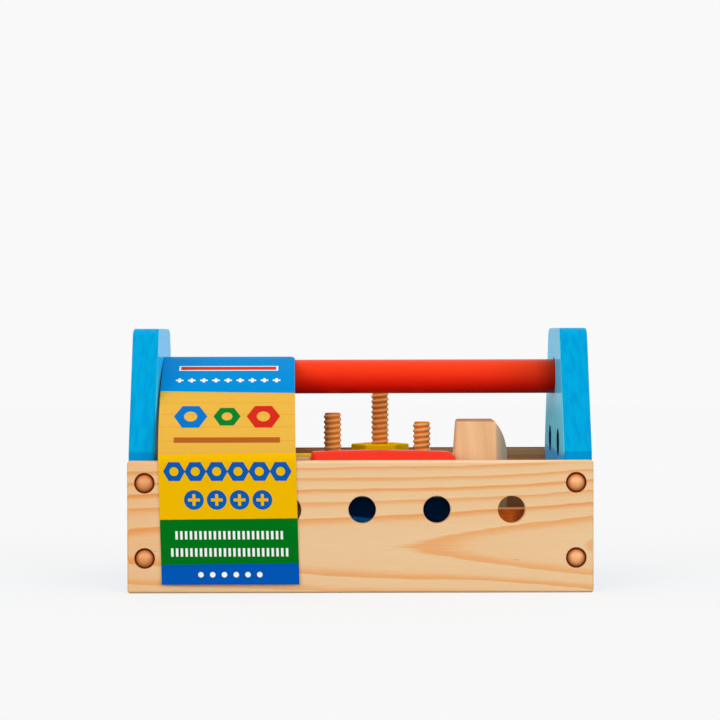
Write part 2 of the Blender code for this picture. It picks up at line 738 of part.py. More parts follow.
def make_hammer():
    """The hammer stands on its striking face, with its handle level towards the left end."""
    middle_x = (HAMMER_LEFT + HAMMER_RIGHT) / 2
    head = add_object(
        "hammer_head",
        outline_mesh("hammer_head", hammer_head_section(), HAMMER_HEAD_LENGTH),
        NATURAL_WOOD,
    )
    head.location = (middle_x, HAMMER_Y, STAND + HAMMER_HEAD_LENGTH / 2)
    round_edges(head, SMALL_EDGE_RADIUS)
    cut(head, crown_cutter())
    cut(head, taper_cutter())

    handle_middle = HAMMER_HANDLE_TOP - HAMMER_HANDLE_HEIGHT / 2
    tenon_right = HAMMER_LEFT + HAMMER_TENON_DEPTH
    handle_left = -INNER_HALF_LENGTH + HAMMER_HANDLE_END_CLEARANCE
    length = tenon_right - SEAT_GAP - handle_left
    corner = HAMMER_HANDLE_HEIGHT / 2 - SMALL_EDGE_RADIUS
    outline = (
        [(length, -HAMMER_HANDLE_HEIGHT / 2), (length, HAMMER_HANDLE_HEIGHT / 2)]
        + arc_points(HAMMER_HANDLE_HEIGHT / 2, HAMMER_HANDLE_HEIGHT / 2 - corner, corner, 90, 180)
        + arc_points(HAMMER_HANDLE_HEIGHT / 2, corner - HAMMER_HANDLE_HEIGHT / 2, corner, 180, 270)
    )
    handle = add_object(
        "hammer_handle", outline_mesh("hammer_handle", outline, HAMMER_HANDLE_THICKNESS), YELLOW_PAINT, 0.4
    )
    stand_outline(handle, (handle_left, HAMMER_Y, handle_middle))
    round_edges(handle, SMALL_EDGE_RADIUS)
    mortise_length = HAMMER_TENON_DEPTH + CUT_OVERRUN
    mortise = block_cutter(
        "hammer_mortise",
        (tenon_right - mortise_length / 2, HAMMER_Y, handle_middle),
        (mortise_length, HAMMER_HANDLE_THICKNESS + 2 * SEAT_GAP, HAMMER_HANDLE_HEIGHT + 2 * SEAT_GAP),
    )
    cut(head, mortise)


def crown_cutter():
    """The waste outside the rounded crown."""
    crown = hammer_crown_outline()
    beyond_x = HAMMER_HEAD_WIDTH + CUT_OVERRUN
    beyond_y = HAMMER_HEAD_LENGTH + CUT_OVERRUN
    waste = crown + [(crown[-1][0], beyond_y), (beyond_x, beyond_y), (beyond_x, crown[0][1])]
    cutter = add_object("crown_cutter", outline_mesh("crown_cutter", waste, HAMMER_HEAD_DEPTH + CUT_OVERRUN))
    stand_outline(cutter, (HAMMER_LEFT, HAMMER_Y, STAND))
    return cutter


def taper_cutter():
    """The sliver that tapers the head above its handle."""
    low = HAMMER_HANDLE_TOP - STAND
    top = HAMMER_HEAD_LENGTH
    lean = HAMMER_HEAD_TAPER / (top - low)
    reach = HAMMER_HEAD_TAPER + CUT_OVERRUN * lean
    waste = [(0, low), (reach, top + CUT_OVERRUN), (-CUT_OVERRUN, top + CUT_OVERRUN), (-CUT_OVERRUN, low)]
    cutter = add_object("taper_cutter", outline_mesh("taper_cutter", waste, HAMMER_HEAD_DEPTH + CUT_OVERRUN))
    stand_outline(cutter, (HAMMER_LEFT, HAMMER_Y, STAND))
    return cutter


def make_blue_board():
    """The blue board stands on edge just under the hammer's handle."""
    height = HAMMER_HANDLE_TOP - HAMMER_HANDLE_HEIGHT - SEAT_GAP - STAND
    outline = rounded_rectangle(BOARD_LENGTH, height, BOARD_CORNER_RADIUS)
    board = add_object("blue_board", outline_mesh("blue_board", outline, BOARD_THICKNESS), BLUE_STAIN, 0.4)
    middle_x = HAMMER_LEFT - WRENCH_HAMMER_CLEARANCE - BOARD_LENGTH / 2
    middle_z = STAND + height / 2
    stand_outline(board, (middle_x, BOARD_Y, middle_z))
    round_edges(board, SMALL_EDGE_RADIUS)
    for index in (-1, 0, 1):
        place = (middle_x + index * BOARD_HOLE_SPACING, BOARD_Y, middle_z)
        cut(board, hole_cutter(f"blue_board_hole_{index + 2}", place, BORE_DIAMETER, BOARD_THICKNESS, ALONG_Y))


def make_hex(name, colour, place):
    """A hexagonal head or nut that stands on the given place, corners along X."""
    piece = add_object(name, prism_mesh(name, HEX_ACROSS_CORNERS, HEX_THICKNESS, 6), colour, 0.4)
    x, y, bottom = place
    piece.location = (x, y, bottom + HEX_THICKNESS / 2)
    round_edges(piece, HEX_CHAMFER)
    return piece


def shaft_profile(length):
    radius = SHAFT_DIAMETER / 2
    tip = radius - SHAFT_TIP_CHAMFER
    return [(0, length), (tip, length), (radius, length - SHAFT_TIP_CHAMFER), (radius, 0), (0, 0)]


def make_bolt(side, x, bottom):
    """A bolt that stands on its slotted head, with its shaft glued into the head."""
    head = make_hex(f"bolt_{side}_head", GREEN_PAINT, (x, BOLT_ROW_Y, bottom))
    slot = block_cutter(
        f"bolt_{side}_slot",
        (x, BOLT_ROW_Y, bottom + HEX_SLOT_DEPTH / 2 - CUT_OVERRUN / 2),
        (HEX_ACROSS_CORNERS + CUT_OVERRUN, HEX_SLOT_WIDTH, HEX_SLOT_DEPTH + CUT_OVERRUN),
    )
    cut(head, slot)
    socket_bottom = bottom + HEX_THICKNESS - SHAFT_SOCKET_DEPTH + HEX_SLOT_DEPTH
    socket_top = bottom + HEX_THICKNESS + CUT_OVERRUN
    socket = bore_cutter(
        f"bolt_{side}_socket",
        (x, BOLT_ROW_Y, (socket_bottom + socket_top) / 2),
        BORE_DIAMETER,
        socket_top - socket_bottom,
    )
    cut(head, socket)
    shaft_bottom = socket_bottom + SEAT_GAP
    name = f"bolt_{side}_shaft"
    profile = shaft_profile(bottom + BOLT_LENGTH - shaft_bottom)
    shaft = add_object(name, profile_mesh(name, profile), NATURAL_WOOD)
    turn_profile(shaft, SMALL_SEGMENTS)
    shaft.location = (x, BOLT_ROW_Y, shaft_bottom)


def make_threaded_rod():
    """The threaded rod stands on the floor with one nut low and one near the panel's top."""
    rod = add_object(
        "threaded_rod", profile_mesh("threaded_rod", shaft_profile(ROD_THREADED_LENGTH)), NATURAL_WOOD
    )
    turn_profile(rod, SMALL_SEGMENTS)
    rod.location = (THREADED_ROD_X, THREADED_ROD_Y, STAND)
    upper_bottom = SIDE_HEIGHT + NUT_UPPER_RISE - HEX_THICKNESS
    for name, bottom in (("nut_lower", STAND), ("nut_upper", upper_bottom)):
        nut = make_hex(name, YELLOW_PAINT, (THREADED_ROD_X, THREADED_ROD_Y, bottom))
        cut(nut, hole_cutter(name + "_bore", nut.location, BORE_DIAMETER, HEX_THICKNESS))


def make_plate(name, colour):
    """A square plate with a square hole, lying flat about its own middle."""
    plate = add_object(name, box_mesh(name, (PLATE_SIZE, PLATE_SIZE, PLATE_THICKNESS)), colour)
    round_edges(plate, SMALL_EDGE_RADIUS)
    cutter = block_cutter(
        name + "_hole", (0, 0, 0), (PLATE_HOLE_SIZE, PLATE_HOLE_SIZE, PLATE_THICKNESS + CUT_OVERRUN)
    )
    cutter.parent = plate
    cut(plate, cutter)
    return plate


def make_plates():
    """A green plate under the left bolt and a natural one upright behind the front panel."""
    green = make_plate("plate_green", GREEN_PAINT)
    green.location = (BOLT_LEFT_X, BOLT_ROW_Y, STAND + PLATE_THICKNESS / 2)
    green.rotation_euler = PLATE_TURN
    natural = make_plate("plate_natural", NATURAL_WOOD)
    natural.rotation_euler = ALONG_Y
    natural.location = (
        INNER_HALF_LENGTH - PLATE_RIGHT_INSET - PLATE_SIZE / 2,
        FRONT_FACE + SEAT_GAP + PLATE_THICKNESS / 2,
        STAND + PLATE_SIZE / 2,
    )


def make_strips():
    """Two flat strips with round ends that lie on the floor beside the right end board."""
    back_end = INNER_HALF_DEPTH - STRIP_PANEL_CLEARANCE
    length = back_end - HAMMER_Y - HAMMER_HEAD_DEPTH / 2 - STRIP_HAMMER_CLEARANCE
    middle_y = back_end - length / 2
    middle_z = STAND + STRIP_THICKNESS / 2
    outline = rounded_rectangle(STRIP_WIDTH, length, STRIP_WIDTH / 2 - SMALL_EDGE_RADIUS)
    for index, (name, colour) in enumerate((("strip_yellow", YELLOW_PAINT), ("strip_natural", NATURAL_WOOD))):
        strip = add_object(name, outline_mesh(name, outline, STRIP_THICKNESS), colour)
        x = INNER_HALF_LENGTH - STRIP_END_CLEARANCE - STRIP_WIDTH / 2 - index * STRIP_STEP
        strip.location = (x, middle_y, middle_z)
        round_edges(strip, SMALL_EDGE_RADIUS)
        for end in (-1, 1):
            place = (x, middle_y + end * (length / 2 - STRIP_HOLE_INSET), middle_z)
            cut(strip, hole_cutter(f"{name}_hole_{end + 2}", place, BORE_DIAMETER, STRIP_THICKNESS))


def driver_handle_profile():
    """The handle from its collar at the top down to its rounded butt, with grip rings."""
    radius = DRIVER_HANDLE_DIAMETER / 2
    collar = DRIVER_COLLAR_DIAMETER / 2
    length = DRIVER_HANDLE_LENGTH
    grip_top = length - DRIVER_COLLAR_LENGTH
    butt = radius / 2
    points = [(0, length), (collar - SMALL_EDGE_RADIUS, length), (collar, length - SMALL_EDGE_RADIUS)]
    points += [(collar, grip_top + SMALL_EDGE_RADIUS), (radius, grip_top - butt / 2)]
    ring = (grip_top - butt / 2 - butt) / (DRIVER_GRIP_RINGS + 1)
    for index in range(1, DRIVER_GRIP_RINGS + 1):
        middle = grip_top - butt / 2 - index * ring
        points.append((radius, middle + DRIVER_GRIP_GROOVE))
        points.append((radius - DRIVER_GRIP_GROOVE, middle))
        points.append((radius, middle - DRIVER_GRIP_GROOVE))
    points += [(radius - butt + x, butt + y) for x, y in arc_points(0, 0, butt, 0, -90)]
    return points + [(0, 0)]


def make_screwdriver():
    """The screwdriver lies on the floor along the back panel, its handle to the left."""
    butt_x = -INNER_HALF_LENGTH + DRIVER_END_CLEARANCE
    y = INNER_HALF_DEPTH - DRIVER_PANEL_CLEARANCE - DRIVER_HANDLE_DIAMETER / 2
    z = STAND + DRIVER_HANDLE_DIAMETER / 2
    handle = add_object(
        "screwdriver_handle", profile_mesh("screwdriver_handle", driver_handle_profile()), GREEN_PAINT, 0.35
    )
    turn_profile(handle, ROUND_SEGMENTS)
    handle.rotation_euler = ALONG_X
    handle.location = (butt_x, y, z)
    mouth_x = butt_x + DRIVER_HANDLE_LENGTH
    socket_left = mouth_x - DRIVER_HANDLE_LENGTH / 2
    socket_length = mouth_x + CUT_OVERRUN - socket_left
    socket = bore_cutter(
        "driver_socket",
        (socket_left + socket_length / 2, y, z),
        DRIVER_SHAFT_DIAMETER + 2 * SEAT_GAP,
        socket_length,
        ALONG_X,
    )
    cut(handle, socket)

    tip_x = THREADED_ROD_X - HEX_ACROSS_CORNERS / 2 - DRIVER_NUT_CLEARANCE
    shaft_left = socket_left + SEAT_GAP
    length = tip_x - shaft_left
    shaft = add_object(
        "screwdriver_shaft",
        prism_mesh("screwdriver_shaft", DRIVER_SHAFT_DIAMETER, length, SMALL_SEGMENTS),
        NATURAL_WOOD,
    )
    shaft.rotation_euler = ALONG_X
    shaft.location = (shaft_left + length / 2, y, z)
    for side in (-1, 1):
        flat = DRIVER_TIP_THICKNESS / 2 + DRIVER_SHAFT_DIAMETER / 2
        size = (DRIVER_TIP_LENGTH + CUT_OVERRUN, DRIVER_SHAFT_DIAMETER + CUT_OVERRUN, DRIVER_SHAFT_DIAMETER)
        place = (tip_x - DRIVER_TIP_LENGTH + size[0] / 2, y, z + side * flat)
        cut(shaft, block_cutter(f"driver_tip_{side + 2}", place, size))


def shade_round_pieces():
    """Smooth shading with sharp edges kept, for every mesh."""
    for piece in COLLECTIONS["toy_tool_box"].objects:
        piece.data.shade_smooth()
        piece.data.set_sharp_from_angle(angle=math.radians(30))


def main():
    make_side_panels()
    make_end_boards()
    make_base_board()
    make_handle_rod()
    make_plugs_and_screws()
    make_card_sleeve()
    make_saw()
    make_wrench()
    make_hammer()
    make_blue_board()
    make_bolt("left", BOLT_LEFT_X, STAND + PLATE_THICKNESS + SEAT_GAP)
    make_bolt("right", BOLT_RIGHT_X, STAND)
    make_threaded_rod()
    make_plates()
    make_strips()
    make_screwdriver()
    shade_round_pieces()


main()
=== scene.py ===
"""Looks of the wooden toy tool box, its tools and fasteners, and the printed card sleeve.

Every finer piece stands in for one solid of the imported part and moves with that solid's body.
Lengths are in millimetres here, in the frame of the part: X along the handle, front at -Y, Z up.
"""

import json
from math import acos, atan2, cos, degrees, dist, hypot, pi, radians, sin, sqrt, tan

import bmesh
import bpy
from mathutils import Matrix, Vector
from mathutils.geometry import tessellate_polygon


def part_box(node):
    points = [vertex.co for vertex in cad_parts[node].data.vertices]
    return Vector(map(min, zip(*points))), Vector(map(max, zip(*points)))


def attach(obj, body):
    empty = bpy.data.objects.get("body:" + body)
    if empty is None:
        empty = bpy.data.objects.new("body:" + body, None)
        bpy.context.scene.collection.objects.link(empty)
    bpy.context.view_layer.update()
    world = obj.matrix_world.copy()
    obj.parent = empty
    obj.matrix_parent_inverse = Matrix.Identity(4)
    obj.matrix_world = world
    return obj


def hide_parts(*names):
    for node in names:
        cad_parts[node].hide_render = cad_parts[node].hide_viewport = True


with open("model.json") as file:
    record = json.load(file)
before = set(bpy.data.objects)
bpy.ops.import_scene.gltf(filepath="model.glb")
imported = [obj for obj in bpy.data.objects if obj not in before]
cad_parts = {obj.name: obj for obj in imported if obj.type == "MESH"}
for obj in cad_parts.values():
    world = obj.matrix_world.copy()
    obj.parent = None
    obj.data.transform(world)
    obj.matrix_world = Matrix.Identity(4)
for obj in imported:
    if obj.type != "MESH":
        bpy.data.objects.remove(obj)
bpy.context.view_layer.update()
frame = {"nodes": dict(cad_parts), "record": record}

MM = 0.001

# Camera and studio
CAMERA_DISTANCE = 1239
CAMERA_HEIGHT = 141.9
CAMERA_PITCH = 0.736
CAMERA_ROLL = -0.134
CAMERA_LENS = 107.55
CAMERA_SENSOR = 36
CAMERA_REACH = 20000
WHITE_LEVEL = 0.947
AMBIENT_LEVEL = 0.8
LAMP_AZIMUTH = 42
LAMP_ELEVATION = 22
LAMP_STRENGTH = 0.8
LAMP_SPREAD = 35
FILL_ELEVATION = 8
FILL_STRENGTH = 0.3
FLOOR_SIZE = 6000
FLOOR_GREY = 0.22
FLOOR_GLOW = 0.72

# How finely edges and rounds are cut
EDGE_STEPS = 5
HOLD = 0.06
CORNER_STEPS = 8
HOLE_STEPS = 64
SMALL_HOLE_STEPS = 48
ROUND_STEPS = 96
LONG_ARC_STEPS = 16
SHARP_ANGLE = 40


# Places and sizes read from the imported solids
def corners(node):
    """The lowest and the highest corner of a solid's box."""
    return [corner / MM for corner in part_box(node)]


def low_of(node):
    return corners(node)[0]


def high_of(node):
    return corners(node)[1]


def centre_of(node):
    return (low_of(node) + high_of(node)) / 2


def size_of(node):
    return high_of(node) - low_of(node)


def at_low(node, axes):
    """The middle of a solid, moved to its lowest place along the named axes."""
    place = centre_of(node)
    for axis in axes:
        setattr(place, axis, getattr(low_of(node), axis))
    return place


def opening_centre(name):
    """The middle of a hole that the record states."""
    for opening in frame["record"]["physics"]["openings"]:
        if opening["name"] == name:
            low, high = (Vector(corner) for corner in opening["box_m"])
            return (low + high) / 2 / MM


SIDE_HEIGHT = high_of("side_front").z
SIDE_THICKNESS = size_of("side_front").y
BOX_HALF_LENGTH = high_of("side_front").x
BOX_HALF_DEPTH = high_of("side_back").y
BOX_HEIGHT = high_of("end_left").z
END_THICKNESS = size_of("end_left").x
INNER_HALF_LENGTH = BOX_HALF_LENGTH - END_THICKNESS
ROD_RADIUS = size_of("handle_rod").y / 2
ROD_HEIGHT = centre_of("handle_rod").z
SIDE_HOLES = [opening_centre(f"front_hole_{index}").x for index in range(1, 6)]
SIDE_HOLE_HEIGHT = opening_centre("front_hole_1").z
END_HOLE = opening_centre("end_left_hole_back")
PLUG_X = centre_of("plug_front_right_low").x
PLUG_HEIGHTS = [centre_of(f"plug_front_right_{level}").z for level in ("low", "high")]

# Sizes of the looks alone
GAP = 0.3
SIDE_CORNER = 1.6
SIDE_EDGE = 1.4
HOLE_RADIUS = 7.5
HOLE_LIP = 0.5
END_TOP_HALF_WIDTH = 36.0
END_SHOULDER = 5.0
END_CORNER = 7.0
END_CORNER_STEPS = 12
END_FOOT_CORNER = 1.2
END_EDGE = 1.3
LEFT_END_SWELL = 0.3
RIGHT_END_SWELL = 1.2
SOCKET_DEPTH = 8.0
SOCKET_PLAY = 0.6
SOCKET_RISE = 0.35
SOCKET_LIP = 0.4
ROD_CHAMFER = 1.0
PLUG_RADIUS = 5.4
PLUG_CROWN = 1.5
PLUG_SINK = 2.9
PLUG_SEAT = 3.2
PLUG_STEPS = 20
PLUG_BORE_RADIUS = 5.6
PLUG_BORE_DEPTH = 5.0
PLUG_BORE_LIP = 0.35
HEAD_CORNER = 6.0
THREAD_PITCH = 3.06
THREAD_RADIUS = 5.25
THREAD_DEPTH = 0.9
THREAD_HOLE = 5.5
THREAD_TIP = 1.4
THREAD_TIP_SLOPE = 0.8
THREAD_VALLEY_POWER = 0.9
THREAD_ROWS_PER_TURN = 10
THREAD_STEPS = 48


def srgb(red, green, blue):
    """A colour as it looks on screen, turned into the linear values that shaders take."""
    linear = []
    for level in (red, green, blue):
        share = level / 255
        linear.append(share / 12.92 if share <= 0.04045 else ((share + 0.055) / 1.055) ** 2.4)
    return (*linear, 1)


# Node arithmetic
def operator(operation, swapped=False):
    """What a sign such as + does to a field: one arithmetic node."""

    def apply(self, other):
        pair = (other, self) if swapped else (self, other)
        return self.nodes.calculate(operation, *pair)

    return apply


class Field:
    """A number that varies over a surface."""

    def __init__(self, nodes, socket):
        self.nodes = nodes
        self.socket = socket

    __add__ = operator("ADD")
    __radd__ = operator("ADD", swapped=True)
    __sub__ = operator("SUBTRACT")
    __rsub__ = operator("SUBTRACT", swapped=True)
    __mul__ = operator("MULTIPLY")
    __rmul__ = operator("MULTIPLY", swapped=True)
    __truediv__ = operator("DIVIDE")


class Nodes:
    """The node tree of a material or a world."""

    def __init__(self, owner):
        owner.use_nodes = True
        self.tree = owner.node_tree

    def node(self, kind, inputs, **settings):
        """A node with its settings made and its inputs fed, each by name or number."""
        made = self.tree.nodes.new(kind)
        for key, value in settings.items():
            setattr(made, key, value)
        self.feed(made, inputs)
        return made

    def feed(self, node, inputs):
        """Give each input a field, another node's output or a constant; a triple is a screen colour."""
        for key, value in inputs.items():
            if isinstance(value, Field):
                value = value.socket
            if isinstance(value, tuple) and len(value) == 3:
                value = srgb(*value)
            if isinstance(value, bpy.types.NodeSocket):
                self.tree.links.new(value, node.inputs[key])
            else:
                node.inputs[key].default_value = value

    def calculate(self, operation, *values):
        made = self.node("ShaderNodeMath", dict(enumerate(values)), operation=operation)
        return Field(self, made.outputs[0])


class Graph(Nodes):
    """A material whose colour, roughness and relief are worked out from places in millimetres."""

    def __init__(self, name, colour):
        self.material = bpy.data.materials.new(name)
        super().__init__(self.material)
        self.shader = self.tree.nodes["Principled BSDF"]
        self.coordinates = self.node("ShaderNodeTexCoord", {})
        self.place = self.split(self.coordinates.outputs["Object"], 1 / MM)
        self.colour = colour

    def split(self, vector, scale):
        """The three numbers of a vector after scaling."""
        scaled = self.node("ShaderNodeVectorMath", {0: vector, "Scale": scale}, operation="SCALE")
        parts = self.node("ShaderNodeSeparateXYZ", {0: scaled.outputs[0]})
        return [Field(self, output) for output in parts.outputs]

    def size(self, value):
        return self.calculate("ABSOLUTE", value)

    def greater(self, one, other):
        return self.calculate("MAXIMUM", one, other)

    def reach(self, x, y):
        """The distance of a place from zero."""
        return self.calculate("SQRT", x * x + y * y)

    def smooth(self, value, low, high):
        """Zero below low, one above high, with a soft change between."""
        inputs = {"Value": value, "From Min": low, "From Max": high}
        made = self.node("ShaderNodeMapRange", inputs, interpolation_type="SMOOTHSTEP")
        return Field(self, made.outputs[0])

    def noise(self, shares, place=None, scale=1.0, detail=2.0, roughness=0.5, distortion=0.0):
        """Noise from about -1 to 1; a small share draws it long in that direction."""
        spots = [value * share for value, share in zip(place or self.place, shares)]
        spot = self.node("ShaderNodeCombineXYZ", dict(enumerate(spots)))
        inputs = {
            "Vector": spot.outputs[0],
            "Scale": scale,
            "Detail": detail,
            "Roughness": roughness,
            "Distortion": distortion,
        }
        return (Field(self, self.node("ShaderNodeTexNoise", inputs).outputs[0]) - 0.5) * 2

    def fibre(self, shares, place=None, scale=1.0):
        """Noise with the fine detail of wood fibres."""
        return self.noise(shares, place, scale, detail=3, roughness=0.6)

    def blend(self, share, first, second):
        """One colour changing to another as share goes from 0 to 1."""
        inputs = {0: share, 6: first, 7: second}
        return self.node("ShaderNodeMix", inputs, data_type="RGBA", clamp_factor=True).outputs[2]

    def layer(self, share, colour):
        """Lay a colour over what is there, fully where share is 1."""
        self.colour = self.blend(share, self.colour, colour)

    def brighten(self, factor):
        """Make the colour lighter or darker by a number around one."""
        inputs = {0: self.colour, "Scale": factor}
        self.colour = self.node("ShaderNodeVectorMath", inputs, operation="SCALE").outputs[0]

    def relief(self, height, depth):
        """Small bumps, with the depth in millimetres where height goes from 0 to 1."""
        bump = self.node("ShaderNodeBump", {"Distance": depth * MM, "Height": height})
        self.feed(self.shader, {"Normal": bump.outputs[0]})

    def finish(self, roughness, shine=0.05, tint=(1, 1, 1, 1), others=None):
        """Hand the colour, the roughness, and the strength and tint of reflections to the shader."""
        inputs = {
            "Base Color": self.colour,
            "Roughness": roughness,
            "Specular IOR Level": shine,
            "Specular Tint": tint,
        }
        self.feed(self.shader, inputs | (others or {}))
        return self.material


def stretched(axis, share):
    """Shares for noise that runs long along one axis."""
    return [share if letter == axis else 1 for letter in "xyz"]


# Materials
GREEN = (2, 124, 50)
PINE_LIGHT = (240, 203, 156)
PINE_DARK = (238, 156, 80)
PINE_SHADE = (128, 62, 22)
PINE_TOP_HIGHLIGHT = (236, 214, 188)
PINE_RING = 4.6
PINE_RADIUS = 30.0
PINE_TIP = 16.0
PINE_RIGHT_SLOPE = 0.0103
PINE_RIGHT_CURVE = 0.00032
PINE_LEFT_SLOPE = 0.022
PINE_HEART_BAND = (3, 13)
PINE_FAINT_HEIGHTS = (32, 46)
PINE_AMBER_PLACES = (88, 125)
PINE_HIGHLIGHT_HEIGHTS = (SIDE_HEIGHT - 0.9, SIDE_HEIGHT)
PINE_SHADED_TOP = (SIDE_HEIGHT - 1, SIDE_HEIGHT)
PINE_SHADED_FOOT = (SIDE_HOLE_HEIGHT - 5, SIDE_HEIGHT - 10)
PINE_SHADED_DEPTHS = (0.3, 1.5)
ROD_SHADE_FROM = 98
END_LIT_HEIGHTS = (SIDE_HEIGHT + 14, BOX_HEIGHT - 10)
END_RIM_SHADOW_HEIGHTS = (SIDE_HEIGHT + 1, SIDE_HEIGHT + 4)
END_SKIN_DEPTHS = (0.05, 0.5)
END_HOLE_SHADE_REACH = (HOLE_RADIUS + 0.3, HOLE_RADIUS + 0.8)
END_FOOT_SHADE_EDGE = (60.2, 61.0)
END_FOOT_SHADE_HEIGHTS = (SIDE_HEIGHT + END_SHOULDER - 1, SIDE_HEIGHT + END_SHOULDER)
PLUG_EDGE_SHADE_DEPTHS = (-1.5, 0.3)
PLUG_SEAM_SHADOW_DEPTHS = (-0.2, 1.2)


def pine_turns(graph, depth, heart_height, spread):
    """The count of growth rings at each place, and its height over the heart of the log."""
    x, _, z = graph.place
    across = x * spread - PINE_TIP
    right = graph.greater(across, 0)
    left = graph.greater(across * -1, 0)
    heart = PINE_RADIUS - right * PINE_RIGHT_SLOPE - right * right * PINE_RIGHT_CURVE
    heart = heart + left * PINE_LEFT_SLOPE + depth
    wave = graph.noise((0.014, 0.05, 0.05)) * 1.6
    ripple = graph.noise((0.05, 0.3, 0.3), detail=1) * 0.6
    fray = graph.noise((0.025, 1.3, 1.3)) * 0.05
    height = z - heart_height + wave + ripple
    radius = graph.reach(heart, height)
    return (radius - PINE_RADIUS) / PINE_RING + 0.01 + fray, height


def pine_shade(graph, depth):
    """Where painted shade darkens the inner side: most near its foot and its top, not behind the end
    boards.
    """
    x, _, z = graph.place
    foot = 1 - graph.smooth(z, *PINE_SHADED_FOOT)
    top = graph.smooth(z, *PINE_SHADED_TOP)
    between = 1 - graph.smooth(graph.size(x), INNER_HALF_LENGTH, BOX_HALF_LENGTH)
    return graph.smooth(depth, *PINE_SHADED_DEPTHS) * (0.6 + foot * 0.3 + top * 0.4) * between


def pine(name, face_y, face_sign, heart_height, spread, shaded=0.0):
    """Sawn pine with growth rings whose heart lies in front of the panel's outer face, and a painted
    highlight on top.

    Shaded is how much painted shade darkens and browns the wood behind its outer face.
    """
    graph = Graph(name, PINE_LIGHT)
    x, y, z = graph.place
    depth = (y - face_y) * -face_sign
    turns, height = pine_turns(graph, depth, heart_height, spread)
    ring = graph.calculate("FLOOR", turns)
    share = graph.calculate("FRACT", turns)
    aside = graph.smooth(graph.size(height), *PINE_HEART_BAND)
    late = graph.smooth(share, 0.74 - aside * 0.24, 0.95) * (1 - graph.smooth(share, 0.955, 1.0))
    strength = 0.58 + graph.noise((0.73, 1, 1), (ring, 3.1, 1.7), detail=0) * 0.35
    strength = strength * (0.76 + graph.smooth(z, *PINE_FAINT_HEIGHTS) * 0.24)
    fibre = graph.fibre((0.03, 2.2, 2.2))
    fine = graph.noise((0.09, 5.0, 5.0), detail=3, roughness=0.65)
    patch = graph.noise((0.008, 0.03, 0.03), detail=1)
    amber = graph.smooth(x * -1, *PINE_AMBER_PLACES) * 0.2
    speck = graph.smooth(graph.noise((0.11, 0.8, 0.8)), 0.28, 0.6)
    graph.layer(late * strength + share * 0.17 + amber + speck * 0.45, PINE_DARK)
    # Painted highlight: the top face is made paler, as if lit from above.
    graph.layer(graph.smooth(z, *PINE_HIGHLIGHT_HEIGHTS) * 0.5, PINE_TOP_HIGHLIGHT)
    # Painted shade: the inner side and top of the back panel are darker and browner.
    graph.layer(pine_shade(graph, depth) * shaded, PINE_SHADE)
    graph.brighten(1 + fibre * 0.08 + fine * 0.09 + patch * 0.03)
    graph.relief(late * 0.4 + fibre * 0.4, 0.05)
    return graph.finish(0.6 + fibre * 0.05, shine=0.0)


def beech(name, axis):
    """Plain beech: fine fibres along one axis and short dark flecks."""
    dark = (205, 140, 88)
    graph = Graph(name, (238, 190, 138))
    shares = stretched(axis, 0.05)
    broad = graph.noise(shares, scale=0.16, distortion=0.4)
    fibre = graph.fibre(shares, scale=1.4)
    fleck = graph.smooth(graph.noise(shares, scale=3.2, detail=1), 0.30, 0.55)
    graph.layer(0.38 + broad * 0.55 + fibre * 0.18, dark)
    graph.layer(fleck * 0.22, dark)
    graph.relief(fibre * 0.5 - fleck, 0.04)
    return graph.finish(0.5 + fibre * 0.06, shine=0.08)


def hammer_wood():
    """Pale beech with slanting streaks, dark end grain on top, and painted shade and reflection on the
    planed corners.
    """
    low, high = corners("hammer_head")
    facet_shade_heights = (SIDE_HEIGHT - 14, SIDE_HEIGHT - 2)
    facet_shade_edge = (-0.8, -0.2)
    far_shade_places = (high.x - HEAD_CORNER, high.x - 1.5)
    top_heights = (high.z - 1.2, high.z - 0.3)
    graph = Graph("hammer_wood", (244, 200, 152))
    x, y, z = graph.place
    slanted = (x + z * 0.12, y, z)
    broad = graph.noise((0.16, 0.16, 0.012), slanted, distortion=0.3)
    fibre = graph.fibre((1.4, 1.4, 0.06), slanted)
    fleck = graph.smooth(graph.noise((2.6, 2.6, 0.2), slanted, detail=1), 0.30, 0.55)
    graph.layer(0.38 + broad * 0.6 + fibre * 0.22, (218, 160, 112))
    graph.layer(fleck * 0.25, (206, 146, 98))
    sideways = graph.size(y - (low.y + high.y) / 2)
    corner = x + sideways - (high.x - HEAD_CORNER + (high.y - low.y) / 2)
    # Painted shade and reflection: the planed corners turn grey, more towards the right edge.
    facet_shade = graph.smooth(corner, *facet_shade_edge) * graph.smooth(z, *facet_shade_heights)
    far_shade = graph.smooth(x, *far_shade_places)
    graph.layer(facet_shade * (0.35 + far_shade * 0.4), (126, 128, 126))
    graph.layer(graph.smooth(z, *top_heights) * 0.8, (168, 100, 66))
    graph.relief(fibre * 0.5 - fleck, 0.04)
    return graph.finish(0.5 + fibre * 0.06)


def plate_wood():
    """Oiled reddish beech with painted shade towards its right side and a painted highlight along its top
    edge.
    """
    middle = centre_of("plate_natural").x
    top = high_of("plate_natural").z
    shade_places = (middle - 6, middle + 5)
    highlight_heights = (top - 1.1, top - 0.6)
    graph = Graph("plate_wood", (190, 98, 34))
    x, _, z = graph.place
    fibre = graph.fibre((0.06, 1, 1.3))
    broad = graph.noise((0.22, 1, 0.22), detail=1)
    graph.layer(0.4 + fibre * 0.35 + broad * 0.5, (134, 60, 20))
    # Painted shade: darker towards the right side.
    graph.layer(graph.smooth(x, *shade_places) * 0.75, (66, 26, 6))
    # Painted highlight: a pale line along the rounded top edge.
    graph.layer(graph.smooth(z, *highlight_heights) * 0.8, (236, 170, 120))
    graph.relief(fibre, 0.04)
    return graph.finish(0.5 + fibre * 0.06, shine=0.02)


